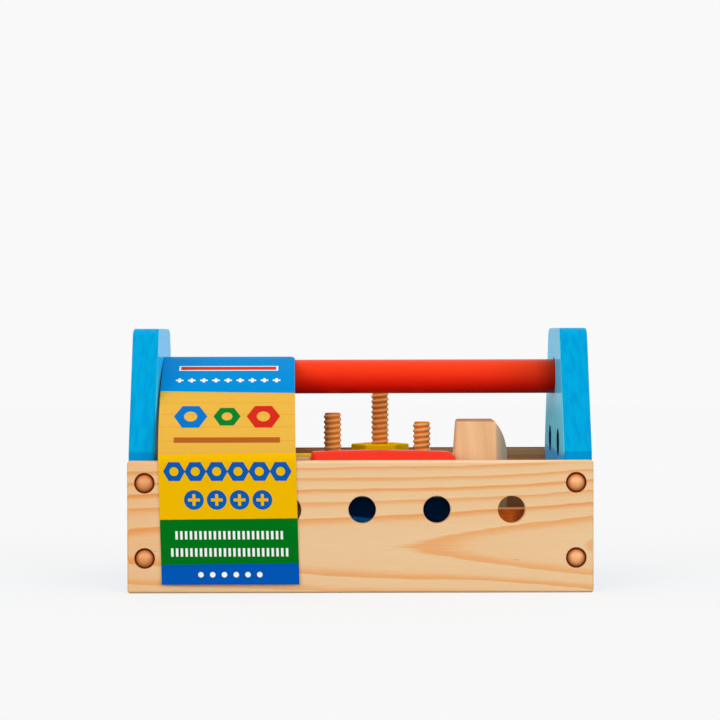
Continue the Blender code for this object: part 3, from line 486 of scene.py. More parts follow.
def thread_wood(name, middle):
    """Turned wood whose thread has painted light on its ridges and painted shade, amber, in its valleys.
    """
    graph = Graph(name, (232, 122, 42))
    x, y, _ = graph.place
    radius = graph.reach(x - middle.x, y - middle.y)
    ridge = graph.smooth(radius, THREAD_RADIUS - THREAD_DEPTH, THREAD_RADIUS)
    fibre = graph.fibre((1, 1, 0.15), scale=1.6)
    # Painted light and shade: the ridges are made pale, the valleys stay amber.
    graph.layer(ridge + fibre * 0.12, (254, 190, 120))
    graph.relief(fibre, 0.03)
    return graph.finish(0.5 + fibre * 0.05, shine=0.04)


def paint_grain(graph, axis):
    """The wood's fine fibres along one axis and its broad tones, as paint shows them."""
    fibre = graph.fibre(stretched(axis, 0.04), scale=1.1)
    graph.relief(fibre, 0.03)
    return fibre, graph.noise((1, 1, 1), scale=0.05)


def painted(name, colour, axis, shade=0.86, shine=0.2):
    """Painted wood whose grain just shows through, as the colour multiplied by shade."""
    graph = Graph(name, colour)
    fibre, broad = paint_grain(graph, axis)
    red, green, blue, _ = srgb(*colour)
    graph.layer(0.45 + fibre * 0.4 + broad * 0.25, (red * shade, green * shade, blue * shade, 1))
    return graph.finish(0.34 + fibre * 0.05, shine, tint=colour)


def rod_finish():
    """Red paint on the handle rod, with painted light on its top and painted shade next to the end boards.
    """
    graph = Graph("rod_paint", (236, 16, 8))
    x, _, z = graph.place
    fibre, broad = paint_grain(graph, "x")
    # Painted light: the rod turns a lighter orange red towards its top.
    graph.layer(graph.smooth(z, ROD_HEIGHT - ROD_RADIUS, ROD_HEIGHT + ROD_RADIUS), (246, 66, 30))
    # Painted shade: the rod darkens next to the end boards.
    end_shade = graph.smooth(graph.size(x), ROD_SHADE_FROM, INNER_HALF_LENGTH)
    graph.brighten((1 - end_shade * 0.5) * (0.94 - fibre * 0.06 - broad * 0.04))
    return graph.finish(0.34 + fibre * 0.05, shine=0.2, tint=(250, 48, 26))


def stained_end(name, sign, swell):
    """The blue stain of an end board: streaks along the taper, painted reflection on the inner face,
    painted shade in holes and foot.
    """
    graph = Graph(name, (2, 164, 216))
    x, y, z = graph.place
    wave = graph.noise((0.03, 0.03, 0.012), detail=1) * 4
    slanted = (x + z * 0.13 * sign, y + wave, z)
    streak = graph.noise((0.5, 0.3, 0.006), slanted, detail=3, roughness=0.55)
    fibre = graph.noise((2.5, 2.0, 0.03))
    band = graph.smooth(streak, -0.25, 0.45)
    graph.layer(band * 0.7 + fibre * 0.15, (0, 142, 202))
    # Painted reflection: the inner face turns pale blue, palest low down, and deeper blue below the side
    # panels' top where shade falls.
    high = graph.smooth(z, *END_LIT_HEIGHTS)
    light = graph.blend(high, (112, 240, 255), (0, 212, 255))
    light = graph.blend(graph.smooth(z, *END_RIM_SHADOW_HEIGHTS), (0, 184, 255), light)
    depth = graph.size(x) - (INNER_HALF_LENGTH - swell)
    graph.layer(1 - graph.smooth(depth, *END_SKIN_DEPTHS), light)
    sideways = graph.size(y)
    reach = graph.reach(sideways - END_HOLE.y, z - END_HOLE.z)
    # Painted shade: the walls of the holes are dark blue.
    hole = 1 - graph.smooth(reach, *END_HOLE_SHADE_REACH)
    graph.layer(hole * 0.95, (0, 22, 72))
    # Painted shade: the upright foot of the front and back edges is darker blue.
    foot = 1 - graph.smooth(z, *END_FOOT_SHADE_HEIGHTS)
    graph.layer(graph.smooth(sideways, *END_FOOT_SHADE_EDGE) * foot * 0.6, (0, 132, 200))
    graph.relief(fibre * 0.6 + streak * 0.4, 0.02)
    sheen = {"Sheen Weight": 0.4, "Sheen Tint": (70, 180, 255)}
    return graph.finish(0.2 + fibre * 0.04, shine=0.03, tint=(0, 120, 170), others=sheen)


def plug_finish():
    """Oiled hardwood plugs, browner on the left; painted shade towards the dome's edge, painted shadow
    where it meets the panel.
    """
    graph = Graph("plug_finish", (255, 196, 130))
    x, y, _ = graph.place
    grain = graph.noise((0.7, 0.1, 0.25))
    fibre = graph.noise((3.0, 0.5, 1.0))
    graph.layer(0.4 + grain * 0.6 + fibre * 0.25, (238, 150, 82))
    graph.layer(graph.smooth(x * -1, 0, PLUG_X) * 0.35, (196, 108, 44))
    sunk = BOX_HALF_DEPTH - graph.size(y)
    # Painted shade: the dome darkens towards its edge, leaving a pale crown as its highlight.
    graph.layer(graph.smooth(sunk, *PLUG_EDGE_SHADE_DEPTHS), (206, 104, 46))
    # Painted shadow: a dark ring where the plug sinks into its bore.
    graph.layer(graph.smooth(sunk, *PLUG_SEAM_SHADOW_DEPTHS), (104, 40, 12))
    graph.relief(fibre, 0.02)
    return graph.finish(0.30 + fibre * 0.03, shine=0.4)


def steel_finish():
    """Zinc-plated steel with faint turning marks."""
    graph = Graph("screw_finish", (190, 190, 186))
    marks = graph.noise((1, 6, 1), scale=1.5)
    graph.layer(0.5 + marks * 0.5, (150, 150, 150))
    graph.relief(marks, 0.01)
    return graph.finish(0.32 + marks * 0.06, others={"Metallic": 1.0})


def card_back():
    """The unprinted side of the card."""
    graph = Graph("card_back", (232, 230, 224))
    fibre = graph.noise((1, 1, 1), scale=0.9, detail=4, roughness=0.7)
    graph.layer(0.5 + fibre * 0.5, (216, 213, 206))
    graph.relief(fibre, 0.01)
    return graph.finish(0.75)


# The sleeve's print, in millimetres across the card and up from the front hem
PRINT_UNIT = 100
PRINT_BLUR = 0.07
BAND_BLUR = 0.06
PRINT_WHITE = (244, 246, 244)
PRINT_BLUE = (10, 92, 176)
SLEEVE_WIDTH = 74.9
SLEEVE_HALF = 162.5

# Where each band ends and how much higher it ends on the right, then the bands' colours
BAND_EDGES = ((10.7, 0.9), (35.6, 0.65), (71.3, 0.8), (116.8, -2.0))
BAND_COLOURS = (
    (0, 86, 180),
    (0, 116, 26),
    (242, 186, 0),
    (226, 174, 66),
    (0, 136, 206),
)

# Height, pitch and number of the shapes in each row, then the shapes' sizes
DOT_ROW = (5.4, 6.4, 6)
TICK_ROWS = ((27.0, 2.6, 23), (17.6, 2.6, 25))
NUT_ROW = (62.0, 11.6, 6)
SCREW_ROW = (46.4, 12.4, 4)
PLUS_ROW = (127.5, 6.8, 9)
DOT_RADIUS = 1.5
TICK_SIZE = (1.3, 4.6)
NUT_HALF, NUT_BORE = 5.2, 2.4
SCREW_RADIUS = 5.4
SCREW_CROSS = (6.4, 1.6)
PLUS_CROSS = (4.2, 1.4)

# Place from the middle, colour and half width of the three large nuts, and their height
LARGE_NUTS = ((-20, (10, 112, 190), 8.0), (0, (8, 122, 44), 6.5), (20, (205, 40, 28), 8.0))
LARGE_NUT_HEIGHT = 96
LARGE_NUT_BORE_SHARE = 0.45

# Height, width and thickness of the plain bars, with their colours
BARS = (
    (80, 58, 3.4, (176, 92, 30)),
    (142, 56, 6.4, PRINT_WHITE),
    (142, 54, 4.6, (214, 52, 24)),
)

# Pitch, first line and half thickness of the lines between planks, and the part of the card they cover
PLANK_PITCH = 9.0
PLANK_START = 3
PLANK_LINE_HALF = 0.18
PLANK_MIDDLE = 94
PLANK_HALF_HEIGHT = 21.7


class Print:
    """Flat shapes drawn on the card by distance from their edges."""

    def __init__(self, graph):
        self.graph = graph
        self.across, along, _ = graph.split(graph.coordinates.outputs["UV"], PRINT_UNIT)
        self.middle = self.across - SLEEVE_WIDTH / 2
        self.up = SLEEVE_HALF - graph.size(along - SLEEVE_HALF)

    def edge(self, distance):
        """One inside a shape, zero outside."""
        return 1 - self.graph.smooth(distance, -PRINT_BLUR, PRINT_BLUR)

    def repeat(self, value, pitch):
        """The distance from the middle of the nearest of many equal cells."""
        share = self.graph.calculate("FRACT", value / pitch)
        return (share - 0.5) * pitch

    def bar(self, x, y, width, height):
        size = self.graph.size
        return self.edge(self.graph.greater(size(x) - width / 2, size(y) - height / 2))

    def disc(self, x, y, radius):
        return self.edge(self.graph.reach(x, y) - radius)

    def nut(self, x, y, half, hole):
        """A hexagon with two sides level and a round hole."""
        size_x, size_y = self.graph.size(x), self.graph.size(y)
        slope = size_x * cos(pi / 6) + size_y * sin(pi / 6)
        return self.edge(self.graph.greater(slope, size_y) - half) - self.disc(x, y, hole)

    def cross(self, x, y, reach, width):
        return self.graph.greater(self.bar(x, y, reach, width), self.bar(x, y, width, reach))

    def row(self, height, pitch, count):
        """The place within its cell across a centred row of cells and up, and one along the row."""
        cell = self.repeat(self.middle + pitch * count / 2, pitch)
        return cell, self.up - height, self.edge(self.graph.size(self.middle) - pitch * count / 2)


def print_rows(graph, art):
    """The rows of dots, tick marks, nuts, screw heads and plus signs."""
    cell, rise, inside = art.row(*DOT_ROW)
    graph.layer(art.disc(cell, rise, DOT_RADIUS) * inside, PRINT_WHITE)
    for row in TICK_ROWS:
        cell, rise, inside = art.row(*row)
        graph.layer(art.bar(cell, rise, *TICK_SIZE) * inside, PRINT_WHITE)
    cell, rise, inside = art.row(*NUT_ROW)
    graph.layer(art.nut(cell, rise, NUT_HALF, NUT_BORE) * inside, PRINT_BLUE)
    cell, rise, inside = art.row(*SCREW_ROW)
    heads = art.disc(cell, rise, SCREW_RADIUS) - art.cross(cell, rise, *SCREW_CROSS)
    graph.layer(heads * inside, PRINT_BLUE)
    cell, rise, inside = art.row(*PLUS_ROW)
    graph.layer(art.cross(cell, rise, *PLUS_CROSS) * inside, PRINT_WHITE)


def printed_card():
    """Coloured bands with rows of simple hardware shapes and tick marks."""
    graph = Graph("printed_card", BAND_COLOURS[0])
    art = Print(graph)
    for (edge, tilt), colour in zip(BAND_EDGES, BAND_COLOURS[1:]):
        line = edge + art.across * (tilt / SLEEVE_WIDTH)
        graph.layer(graph.smooth(art.up - line, -BAND_BLUR, BAND_BLUR), colour)
    print_rows(graph, art)
    lines = art.edge(graph.size(art.repeat(art.up - PLANK_START, PLANK_PITCH)) - PLANK_LINE_HALF)
    planks = art.edge(graph.size(art.up - PLANK_MIDDLE) - PLANK_HALF_HEIGHT)
    graph.layer(lines * planks * 0.35, (170, 110, 30))
    for place, colour, half in LARGE_NUTS:
        bore = half * LARGE_NUT_BORE_SHARE
        graph.layer(art.nut(art.middle - place, art.up - LARGE_NUT_HEIGHT, half, bore), colour)
    for height, width, thickness, colour in BARS:
        graph.layer(art.bar(art.middle, art.up - height, width, thickness), colour)
    speck = graph.noise((1, 1, 1), scale=0.6, detail=4)
    graph.brighten(1 + speck * 0.02)
    graph.relief(speck, 0.005)
    return graph.finish(0.38 + speck * 0.03, shine=0.01)


# Outlines
def arc(centre_u, centre_v, radius, start, end, steps=CORNER_STEPS):
    points = []
    for step in range(steps + 1):
        angle = radians(start + (end - start) * step / steps)
        points.append((centre_u + radius * cos(angle), centre_v + radius * sin(angle)))
    return points


def circle(centre_u, centre_v, radius, steps=HOLE_STEPS):
    return arc(centre_u, centre_v, radius, 0, 360, steps)[:-1]


def rounded_box(low_u, low_v, high_u, high_v, radius, steps=CORNER_STEPS):
    """A rectangle with round corners, anticlockwise."""
    return (
        arc(high_u - radius, high_v - radius, radius, 0, 90, steps)
        + arc(low_u + radius, high_v - radius, radius, 90, 180, steps)
        + arc(low_u + radius, low_v + radius, radius, 180, 270, steps)
        + arc(high_u - radius, low_v + radius, radius, 270, 360, steps)
    )


def centred_box(width, height, radius, steps=CORNER_STEPS):
    return rounded_box(-width / 2, -height / 2, width / 2, height / 2, radius, steps)


def soften(outline, radius, steps=4, straight=165, most_share=0.4):
    """An outline whose corners sharper than an angle are cut round, by at most a share of their sides."""
    points = []
    count = len(outline)
    for index in range(count):
        corner = Vector(outline[index])
        before = Vector(outline[index - 1]) - corner
        after = Vector(outline[(index + 1) % count]) - corner
        if before.angle(after) > radians(straight):
            points.append(tuple(corner))
            continue
        reach = min(radius, before.length * most_share, after.length * most_share)
        start = corner + before.normalized() * reach
        end = corner + after.normalized() * reach
        for step in range(steps + 1):
            share = step / steps
            spot = start.lerp(corner, share).lerp(corner.lerp(end, share), share)
            points.append(tuple(spot))
    return points


def inset(loop, distance):
    """A closed loop moved to its left by a distance."""
    moved = []
    count = len(loop)
    for index in range(count):
        here = Vector(loop[index])
        before = (here - Vector(loop[index - 1])).normalized()
        after = (Vector(loop[(index + 1) % count]) - here).normalized()
        first = Vector((-before.y, before.x))
        second = Vector((-after.y, after.x))
        moved.append(tuple(here + (first + second) * (distance / (1 + first.dot(second)))))
    return moved


# Solids
class Solid:
    """Points and faces of one closed piece."""

    def __init__(self):
        self.points = []
        self.faces = []

    def ring(self, loop, w):
        first = len(self.points)
        self.points += [(u, v, w) for u, v in loop]
        return list(range(first, len(self.points)))

    def skin(self, loops):
        """Rings from loops at their heights, each joined to the next."""
        rings = [self.ring(loop, w) for loop, w in loops]
        count = len(rings[0])
        for one, other in zip(rings, rings[1:]):
            for index in range(count):
                following = (index + 1) % count
                self.faces.append((one[index], one[following], other[following], other[index]))
        return rings

    def cap(self, rings):
        """Fill a flat face that has one outer ring and any number of openings."""
        indices = [index for ring in rings for index in ring]
        loops = [[Vector(self.points[index]) for index in ring] for ring in rings]
        for triangle in tessellate_polygon(loops):
            self.faces.append(tuple(indices[corner] for corner in triangle))


def stacked(loops):
    """A closed piece through loops at their heights, flat at both ends."""
    solid = Solid()
    rings = solid.skin(loops)
    solid.faces += [tuple(rings[0]), tuple(rings[-1])]
    return solid


def turned(profile, steps=ROUND_STEPS):
    """A round piece about w: the profile is radius and height points from one end to the other."""
    return stacked([(circle(0, 0, radius, steps), w) for radius, w in profile])


def edge_rings(top, radius):
    """Insets and heights down a rounded edge that starts on a flat face at the given height."""
    rings = [(radius + HOLD, top)]
    for step in range(EDGE_STEPS + 1):
        angle = pi / 2 * step / EDGE_STEPS
        rings.append((radius * (1 - sin(angle)), top - radius * (1 - cos(angle))))
    rings.append((0, top - radius - HOLD))
    return rings


def slab(outline, thickness, radius, holes=(), pockets=()):
    """A board about its middle plane with rounded edges, through holes and blind pockets.

    Holes are (outline, lip radius); pockets are (outline, lip radius, depth, face sign).
    """
    solid = Solid()
    top = thickness / 2
    caps = {1: [], -1: []}
    for loop, lip in [(outline, radius)] + [(hole[::-1], lip) for hole, lip in holes]:
        upper = edge_rings(top, lip)
        rings = upper + [(distance, -w) for distance, w in reversed(upper)]
        made = solid.skin([(inset(loop, distance), w) for distance, w in rings])
        caps[1].append(made[0])
        caps[-1].append(made[-1])
    for pocket, lip, depth, sign in pockets:
        rings = edge_rings(top, lip) + [(0, top - depth)]
        made = solid.skin([(inset(pocket[::-1], distance), w * sign) for distance, w in rings])
        caps[sign].append(made[0])
        solid.faces.append(tuple(made[-1]))
    for rings in caps.values():
        solid.cap(rings)
    return solid


# Placing
NODE_BODY = {
    node: body for body, nodes in frame["record"]["behaviour"]["bodies"].items() for node in nodes
}


# Where u, v and w of a piece go when its flat faces look along X, along Y or up
TURNS = {
    "x": lambda u, v, w: (w, u, v),
    "y": lambda u, v, w: (u, -w, v),
    "z": lambda u, v, w: (u, v, w),
}


def facing(axis, place):
    """The placing of a piece at a place, its flat faces turned to look along an axis."""
    turn = TURNS[axis]
    return lambda u, v, w: [start + step for start, step in zip(place, turn(u, v, w))]


def add_object(name, data):
    made = bpy.data.objects.new(name, data)
    bpy.context.scene.collection.objects.link(made)
    return made


def add_piece(node, solid, placing, material, sharp=SHARP_ANGLE):
    """Put a finer piece in place of a solid of the part."""
    mesh = bpy.data.meshes.new(node + "_detail")
    points = [Vector(placing(*point)) * MM for point in solid.points]
    mesh.from_pydata(points, [], solid.faces)
    shape = bmesh.new()
    shape.from_mesh(mesh)
    bmesh.ops.recalc_face_normals(shape, faces=shape.faces)
    shape.to_mesh(mesh)
    shape.free()
    mesh.materials.append(material)
    mesh.shade_smooth()
    mesh.set_sharp_from_angle(angle=radians(sharp))
    piece = add_object(node + "_detail", mesh)
    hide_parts(node)
    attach(piece, NODE_BODY[node])
    return piece


def add_board(node, axis, outline, edge, material, holes=(), pockets=(), place=None):
    """A board as thick as its solid, faces across an axis, about the solid's middle or another place."""
    solid = slab(outline, getattr(size_of(node), axis), edge, holes, pockets)
    return add_piece(node, solid, facing(axis, place or centre_of(node)), material)


# The box
def make_side_panels():
    """Front and back panels with rounded edges, hole lips and plug bores."""
    outline = rounded_box(-BOX_HALF_LENGTH, 0, BOX_HALF_LENGTH, SIDE_HEIGHT, SIDE_CORNER)
    holes = [(circle(x, SIDE_HOLE_HEIGHT, HOLE_RADIUS), HOLE_LIP) for x in SIDE_HOLES]
    bores = [circle(x, height, PLUG_BORE_RADIUS) for x in (-PLUG_X, PLUG_X) for height in PLUG_HEIGHTS]
    front = pine("pine_front", -BOX_HALF_DEPTH, -1, heart_height=25.6, spread=1.0)
    back = pine("pine_back", BOX_HALF_DEPTH, 1, heart_height=41.0, spread=-0.8, shaded=0.96)
    for node, sign, finish in (("side_front", -1, front), ("side_back", 1, back)):
        pockets = [(bore, PLUG_BORE_LIP, PLUG_BORE_DEPTH, -sign) for bore in bores]
        place = (0, sign * (BOX_HALF_DEPTH - SIDE_THICKNESS / 2), 0)
        add_board(node, "y", outline, SIDE_EDGE, finish, holes, pockets, place)


def end_outline():
    """An end board: upright between the panels, then tapering to its top."""
    half = BOX_HALF_DEPTH - SIDE_THICKNESS - GAP
    shoulder = SIDE_HEIGHT + END_SHOULDER
    slope = degrees(atan2(half - END_TOP_HALF_WIDTH, BOX_HEIGHT - shoulder))
    corner_u = END_TOP_HALF_WIDTH - END_CORNER * tan(radians(90 - slope) / 2)
    right = [(half, 0), (half, shoulder)]
    right += arc(corner_u, BOX_HEIGHT - END_CORNER, END_CORNER, slope, 90, END_CORNER_STEPS)
    left = [(-u, v) for u, v in reversed(right)]
    return soften(right + left, END_FOOT_CORNER)


def make_end_boards():
    """The two blue boards with their holes and the sockets for the handle rod."""
    outline = end_outline()
    holes = [(circle(u, END_HOLE.z, HOLE_RADIUS), HOLE_LIP) for u in (-END_HOLE.y, END_HOLE.y)]
    socket = circle(0, ROD_HEIGHT + SOCKET_RISE, ROD_RADIUS + SOCKET_PLAY)
    for node, sign, swell in (("end_left", -1, LEFT_END_SWELL), ("end_right", 1, RIGHT_END_SWELL)):
        thickness = END_THICKNESS + swell
        pockets = [(socket, SOCKET_LIP, SOCKET_DEPTH + swell, -sign)]
        solid = slab(outline, thickness, END_EDGE, holes, pockets)
        placing = facing("x", (sign * (BOX_HALF_LENGTH - thickness / 2), 0, 0))
        add_piece(node, solid, placing, stained_end(node + "_stain", sign, swell))


def make_handle_rod():
    half = size_of("handle_rod").x / 2
    end = [(ROD_RADIUS - ROD_CHAMFER, half), (ROD_RADIUS, half - ROD_CHAMFER)]
    profile = end + [(radius, -w) for radius, w in reversed(end)]
    add_piece("handle_rod", turned(profile), facing("x", (0, 0, ROD_HEIGHT)), rod_finish())


def plug_profile():
    """The dome, its soft shoulder and the stem down into the bore."""
    rise = PLUG_CROWN + PLUG_SINK
    profile = []
    for step in range(1, PLUG_STEPS + 1):
        angle = pi / 2 * step / PLUG_STEPS
        profile.append((PLUG_RADIUS * sin(angle), PLUG_CROWN - rise * (1 - cos(angle))))
    profile.append((PLUG_RADIUS, -PLUG_SEAT))
    return profile


def out_of_panel(x, height, sign):
    """Round pieces that stand in a side panel, w outwards from its face."""
    return lambda u, v, w: (x + u, sign * (BOX_HALF_DEPTH + w), height + v)


def make_plugs():
    finish = plug_finish()
    solid = turned(plug_profile(), HOLE_STEPS)
    for face, sign in (("front", -1), ("back", 1)):
        for side, direction in (("left", -1), ("right", 1)):
            for level, height in zip(("low", "high"), PLUG_HEIGHTS):
                placing = out_of_panel(direction * PLUG_X, height, sign)
                add_piece(f"plug_{face}_{side}_{level}", solid, placing, finish)


# The sleeve
SLEEVE_BOTTOM = 5.0
SLEEVE_THICKNESS = 0.6
SLEEVE_CORNER_POWER = 2 / 1.5
SLEEVE_LEAN = 0.027
SLEEVE_BACK_TAPER = 0.045
SLEEVE_STRAIGHT_STEPS = 24
SLEEVE_ARCH_STEPS = 48
SLEEVE_COLUMNS = 18
SLEEVE_CURL_COLUMNS = 6
SLEEVE_CURL_WIDTH = 2.4
SLEEVE_CURL_DROP = 0.9
SLEEVE_CURL_LENGTH = 34.0
SLEEVE_BOW = 0.9
SLEEVE_BOW_LENGTH = 16.0
SLEEVE_FLARE = 0.9
SLEEVE_FLARE_LENGTH = 14.0


def sleeve_path():
    """Depth and height of the card's outer side from the front hem over the crest to the back hem."""
    half_depth = BOX_HALF_DEPTH + GAP + SLEEVE_THICKNESS
    crest = ROD_HEIGHT + ROD_RADIUS + GAP + SLEEVE_THICKNESS
    points = []
    for step in range(SLEEVE_STRAIGHT_STEPS):
        share = step / SLEEVE_STRAIGHT_STEPS
        points.append((-half_depth, SLEEVE_BOTTOM + (SIDE_HEIGHT - SLEEVE_BOTTOM) * share))
    for step in range(SLEEVE_ARCH_STEPS + 1):
        angle = pi / 2 * step / SLEEVE_ARCH_STEPS
        y = -half_depth * max(cos(angle), 0) ** SLEEVE_CORNER_POWER
        z = SIDE_HEIGHT + (crest - SIDE_HEIGHT) * sin(angle) ** SLEEVE_CORNER_POWER
        points.append((y, z))
    return points + [(-y, z) for y, z in points[-2::-1]]


def sleeve_columns():
    """Places across the card, closer together where its right edge curls."""
    flat = SLEEVE_WIDTH - SLEEVE_CURL_WIDTH
    places = [flat * column / SLEEVE_COLUMNS for column in range(SLEEVE_COLUMNS)]
    for step in range(SLEEVE_CURL_COLUMNS + 1):
        places.append(flat + SLEEVE_CURL_WIDTH * step / SLEEVE_CURL_COLUMNS)
    return places


def sleeve_lift(u, from_crest, from_hem):
    """How far the card stands off its path at the crest and the hems, less along its curled edge."""
    bow = SLEEVE_BOW * max(0, 1 - (from_crest / SLEEVE_BOW_LENGTH) ** 2) ** 2
    bow += SLEEVE_FLARE * max(0, 1 - from_hem / SLEEVE_FLARE_LENGTH) ** 2
    curl = max(0, (u - SLEEVE_WIDTH + SLEEVE_CURL_WIDTH) / SLEEVE_CURL_WIDTH) ** 2
    return bow - SLEEVE_CURL_DROP * curl * max(0, 1 - abs(from_crest) / SLEEVE_CURL_LENGTH)


def sleeve_placing(path, runs):
    """Where the card's points go: u across it, side 0 outside or 1 inside, index along its path."""
    half_run = runs[len(path) // 2]
    left = low_of("card_sleeve").x

    def placing(u, side, index):
        y, z = path[index]
        before = Vector(path[max(index - 1, 0)])
        after = Vector(path[min(index + 1, len(path) - 1)])
        along = (after - before).normalized()
        inward = Vector((along.y, -along.x))
        from_crest = runs[index] - half_run
        from_hem = min(runs[index], runs[-1] - runs[index])
        sink = inward * (SLEEVE_THICKNESS * side - sleeve_lift(u, from_crest, from_hem))
        shift = SLEEVE_LEAN * max(-from_crest, 0)
        narrowing = 1 - SLEEVE_BACK_TAPER * max(from_crest, 0) / SLEEVE_WIDTH
        return (left + shift + u * narrowing, y + sink.x, z + sink.y)

    return placing


def sleeve_solid(columns, count):
    """The card as rings along its path, and for each face 0 where it is printed or 1 where it is bare."""
    cells = len(columns) - 1
    around = [(u, 0) for u in columns] + [(u, 1) for u in reversed(columns)]
    solid = Solid()
    rings = solid.skin([(around, index) for index in range(count)])
    kinds = ([0] * cells + [1] * (cells + 2)) * (count - 1)
    for hem in (rings[0], rings[-1]):
        for cell in range(cells):
            solid.faces.append((hem[cell], hem[cell + 1], hem[-2 - cell], hem[-1 - cell]))
            kinds.append(1)
    return solid, kinds


def make_sleeve():
    """The card band with its print on the outside, bare card inside."""
    path = sleeve_path()
    runs = [0.0]
    for one, other in zip(path, path[1:]):
        runs.append(runs[-1] + dist(one, other))
    solid, kinds = sleeve_solid(sleeve_columns(), len(path))
    piece = add_piece("card_sleeve", solid, sleeve_placing(path, runs), printed_card())
    piece.data.materials.append(card_back())
    piece.data.polygons.foreach_set("material_index", kinds)
    layer = piece.data.uv_layers.new(name="print")
    unit = SLEEVE_HALF / runs[len(path) // 2] / PRINT_UNIT
    for loop in piece.data.loops:
        u, _, index = solid.points[loop.vertex_index]
        layer.data[loop.index].uv = (u / PRINT_UNIT, runs[index] * unit)


# The tools
BOARD_HOLE_RADIUS = 5.3


def make_saw_handle():
    """The saw's red handle bar, a little arched on top."""
    edge, corner, toe, shoulder, crown, steps = 1.6, 1.2, 10, 6, 0.8, 16
    size = size_of("saw_handle")
    body = size.z - crown
    outline = [(0, 0), (size.x - toe, 0)]
    outline += arc(size.x - toe, toe, toe, 270, 360)[1:]
    outline += arc(size.x - shoulder, body - shoulder, shoulder, 0, 90)
    for step in range(1, steps):
        share = step / steps
        outline.append(((size.x - shoulder) * (1 - share), body + crown * sin(pi * share)))
    outline.append((0, body))
    place = at_low("saw_handle", "xz")
    finish = painted("saw_paint", (240, 60, 42), "x")
    add_board("saw_handle", "y", soften(outline, corner), edge, finish, place=place)
    return place.x - GAP, place.z + body / 2


def make_saw():
    """The saw's handle bar and its natural blade with teeth down and a tang into the bar."""
    edge, corner, corner_steps = 0.5, 0.6, 3
    tang_length, tang_half, nose, tooth, least_pitch = 22, 6.5, 15, 5.0, 8.0
    heel, tang_height = make_saw_handle()
    place = at_low("saw_blade", "xz")
    reach = heel - place.x
    height = size_of("saw_blade").z
    tang = tang_height - place.z
    outline = [(0, tang - tang_half), (tang_length, tang - tang_half)]
    outline += [(tang_length, tang + tang_half), (0, tang + tang_half), (0, height)]
    outline += arc(-reach + nose, height - nose, nose, 90, 180, LONG_ARC_STEPS)
    teeth = max(1, int(reach / least_pitch))
    pitch = reach / teeth
    for index in range(teeth):
        outline.append((-reach + index * pitch, tooth))
        outline.append((-reach + (index + 0.5) * pitch, 0))
    outline.append((0, tooth))
    place.x = heel
    outline = soften(outline, corner, corner_steps)
    add_board("saw_blade", "y", outline, edge, beech("saw_beech", "x"), place=place)


def make_wrench():
    """The blue wrench, its round end low on the right and its open jaw leaning on the left."""
    edge, corner, corner_steps = 1.6, 1.0, 3
    jaw, end, neck, mouth_half, jaw_from_wall = 25.0, 12.0, 20.0, 16.0, 49.3
    jaw_steps, end_steps = 32, 24
    low, high = corners("wrench")
    x, z = high.x - end, low.z + end
    rise = jaw - end
    run = x - (jaw_from_wall - INNER_HALF_LENGTH)
    span = hypot(run, rise)
    neck_rise = end + neck
    neck_run = sqrt((jaw + neck) ** 2 - neck_rise ** 2)
    neck_angle = degrees(atan2(neck_rise, neck_run))
    tip_angle = degrees(atan2(mouth_half, -sqrt(jaw ** 2 - mouth_half ** 2)))
    mouth = mouth_half * tan(pi / 6)
    upper = arc(0, 0, end, 0, 90, end_steps)
    upper += arc(-span + neck_run, neck_rise, neck, 270, 180 + neck_angle, LONG_ARC_STEPS)
    upper += arc(-span, 0, jaw, neck_angle, tip_angle, jaw_steps)[1:]
    upper += [(-span - mouth / 2, mouth_half), (-span + mouth / 2, 0)]
    lower = [(u, -v) for u, v in reversed(upper[1:-1])]
    solid = slab(soften(upper + lower, corner, corner_steps), high.y - low.y, edge)
    tilt = atan2(rise, run)
    cosine, sine = cos(tilt), sin(tilt)

    def placing(u, v, w):
        return (x + u * cosine + v * sine, (low.y + high.y) / 2 - w, z - u * sine + v * cosine)

    finish = painted("wrench_paint", (0, 132, 220), "x", shade=0.8, shine=0.03)
    add_piece("wrench", solid, placing, finish)


def make_blue_board():
    edge, corner, hole_spacing, lip = 1.0, 4, 40, 0.5
    size = size_of("blue_board")
    outline = centred_box(size.x, size.z, corner)
    places = (-hole_spacing, 0, hole_spacing)
    holes = [(circle(u, 0, BOARD_HOLE_RADIUS, SMALL_HOLE_STEPS), lip) for u in places]
    finish = painted("board_paint", (0, 56, 108), "x", shade=0.8)
    add_board("blue_board", "y", outline, edge, finish, holes)


def make_hammer_head():
    """The natural head on its striking face, with a round crown and two planed corners."""
    edge, corner, taper, crown_radius, crown_drop, crown_steps = 1.2, 1.6, 1.4, 28.6, 9.1, 24
    middle = centre_of("hammer_head")
    size = size_of("hammer_head")
    low_x, low_z = middle.x - size.x / 2, middle.z - size.z / 2
    flat = degrees(acos((crown_radius - crown_drop) / crown_radius))
    centre_v = size.z - crown_radius * cos(radians(flat))
    outline = [(0, 0), (size.x, 0)]
    outline += arc(size.x - crown_radius, centre_v, crown_radius, 0, 90 - flat, crown_steps)
    outline += [(taper, size.z), (0, high_of("hammer_handle").z - middle.z + size.z / 2)]
    place = (low_x, middle.y, low_z)
    piece = add_board("hammer_head", "y", soften(outline, corner), edge, hammer_wood(), place=place)
    chamfer_head(piece, (low_x + size.x) * MM, middle.y * MM, size.y / 2 * MM)


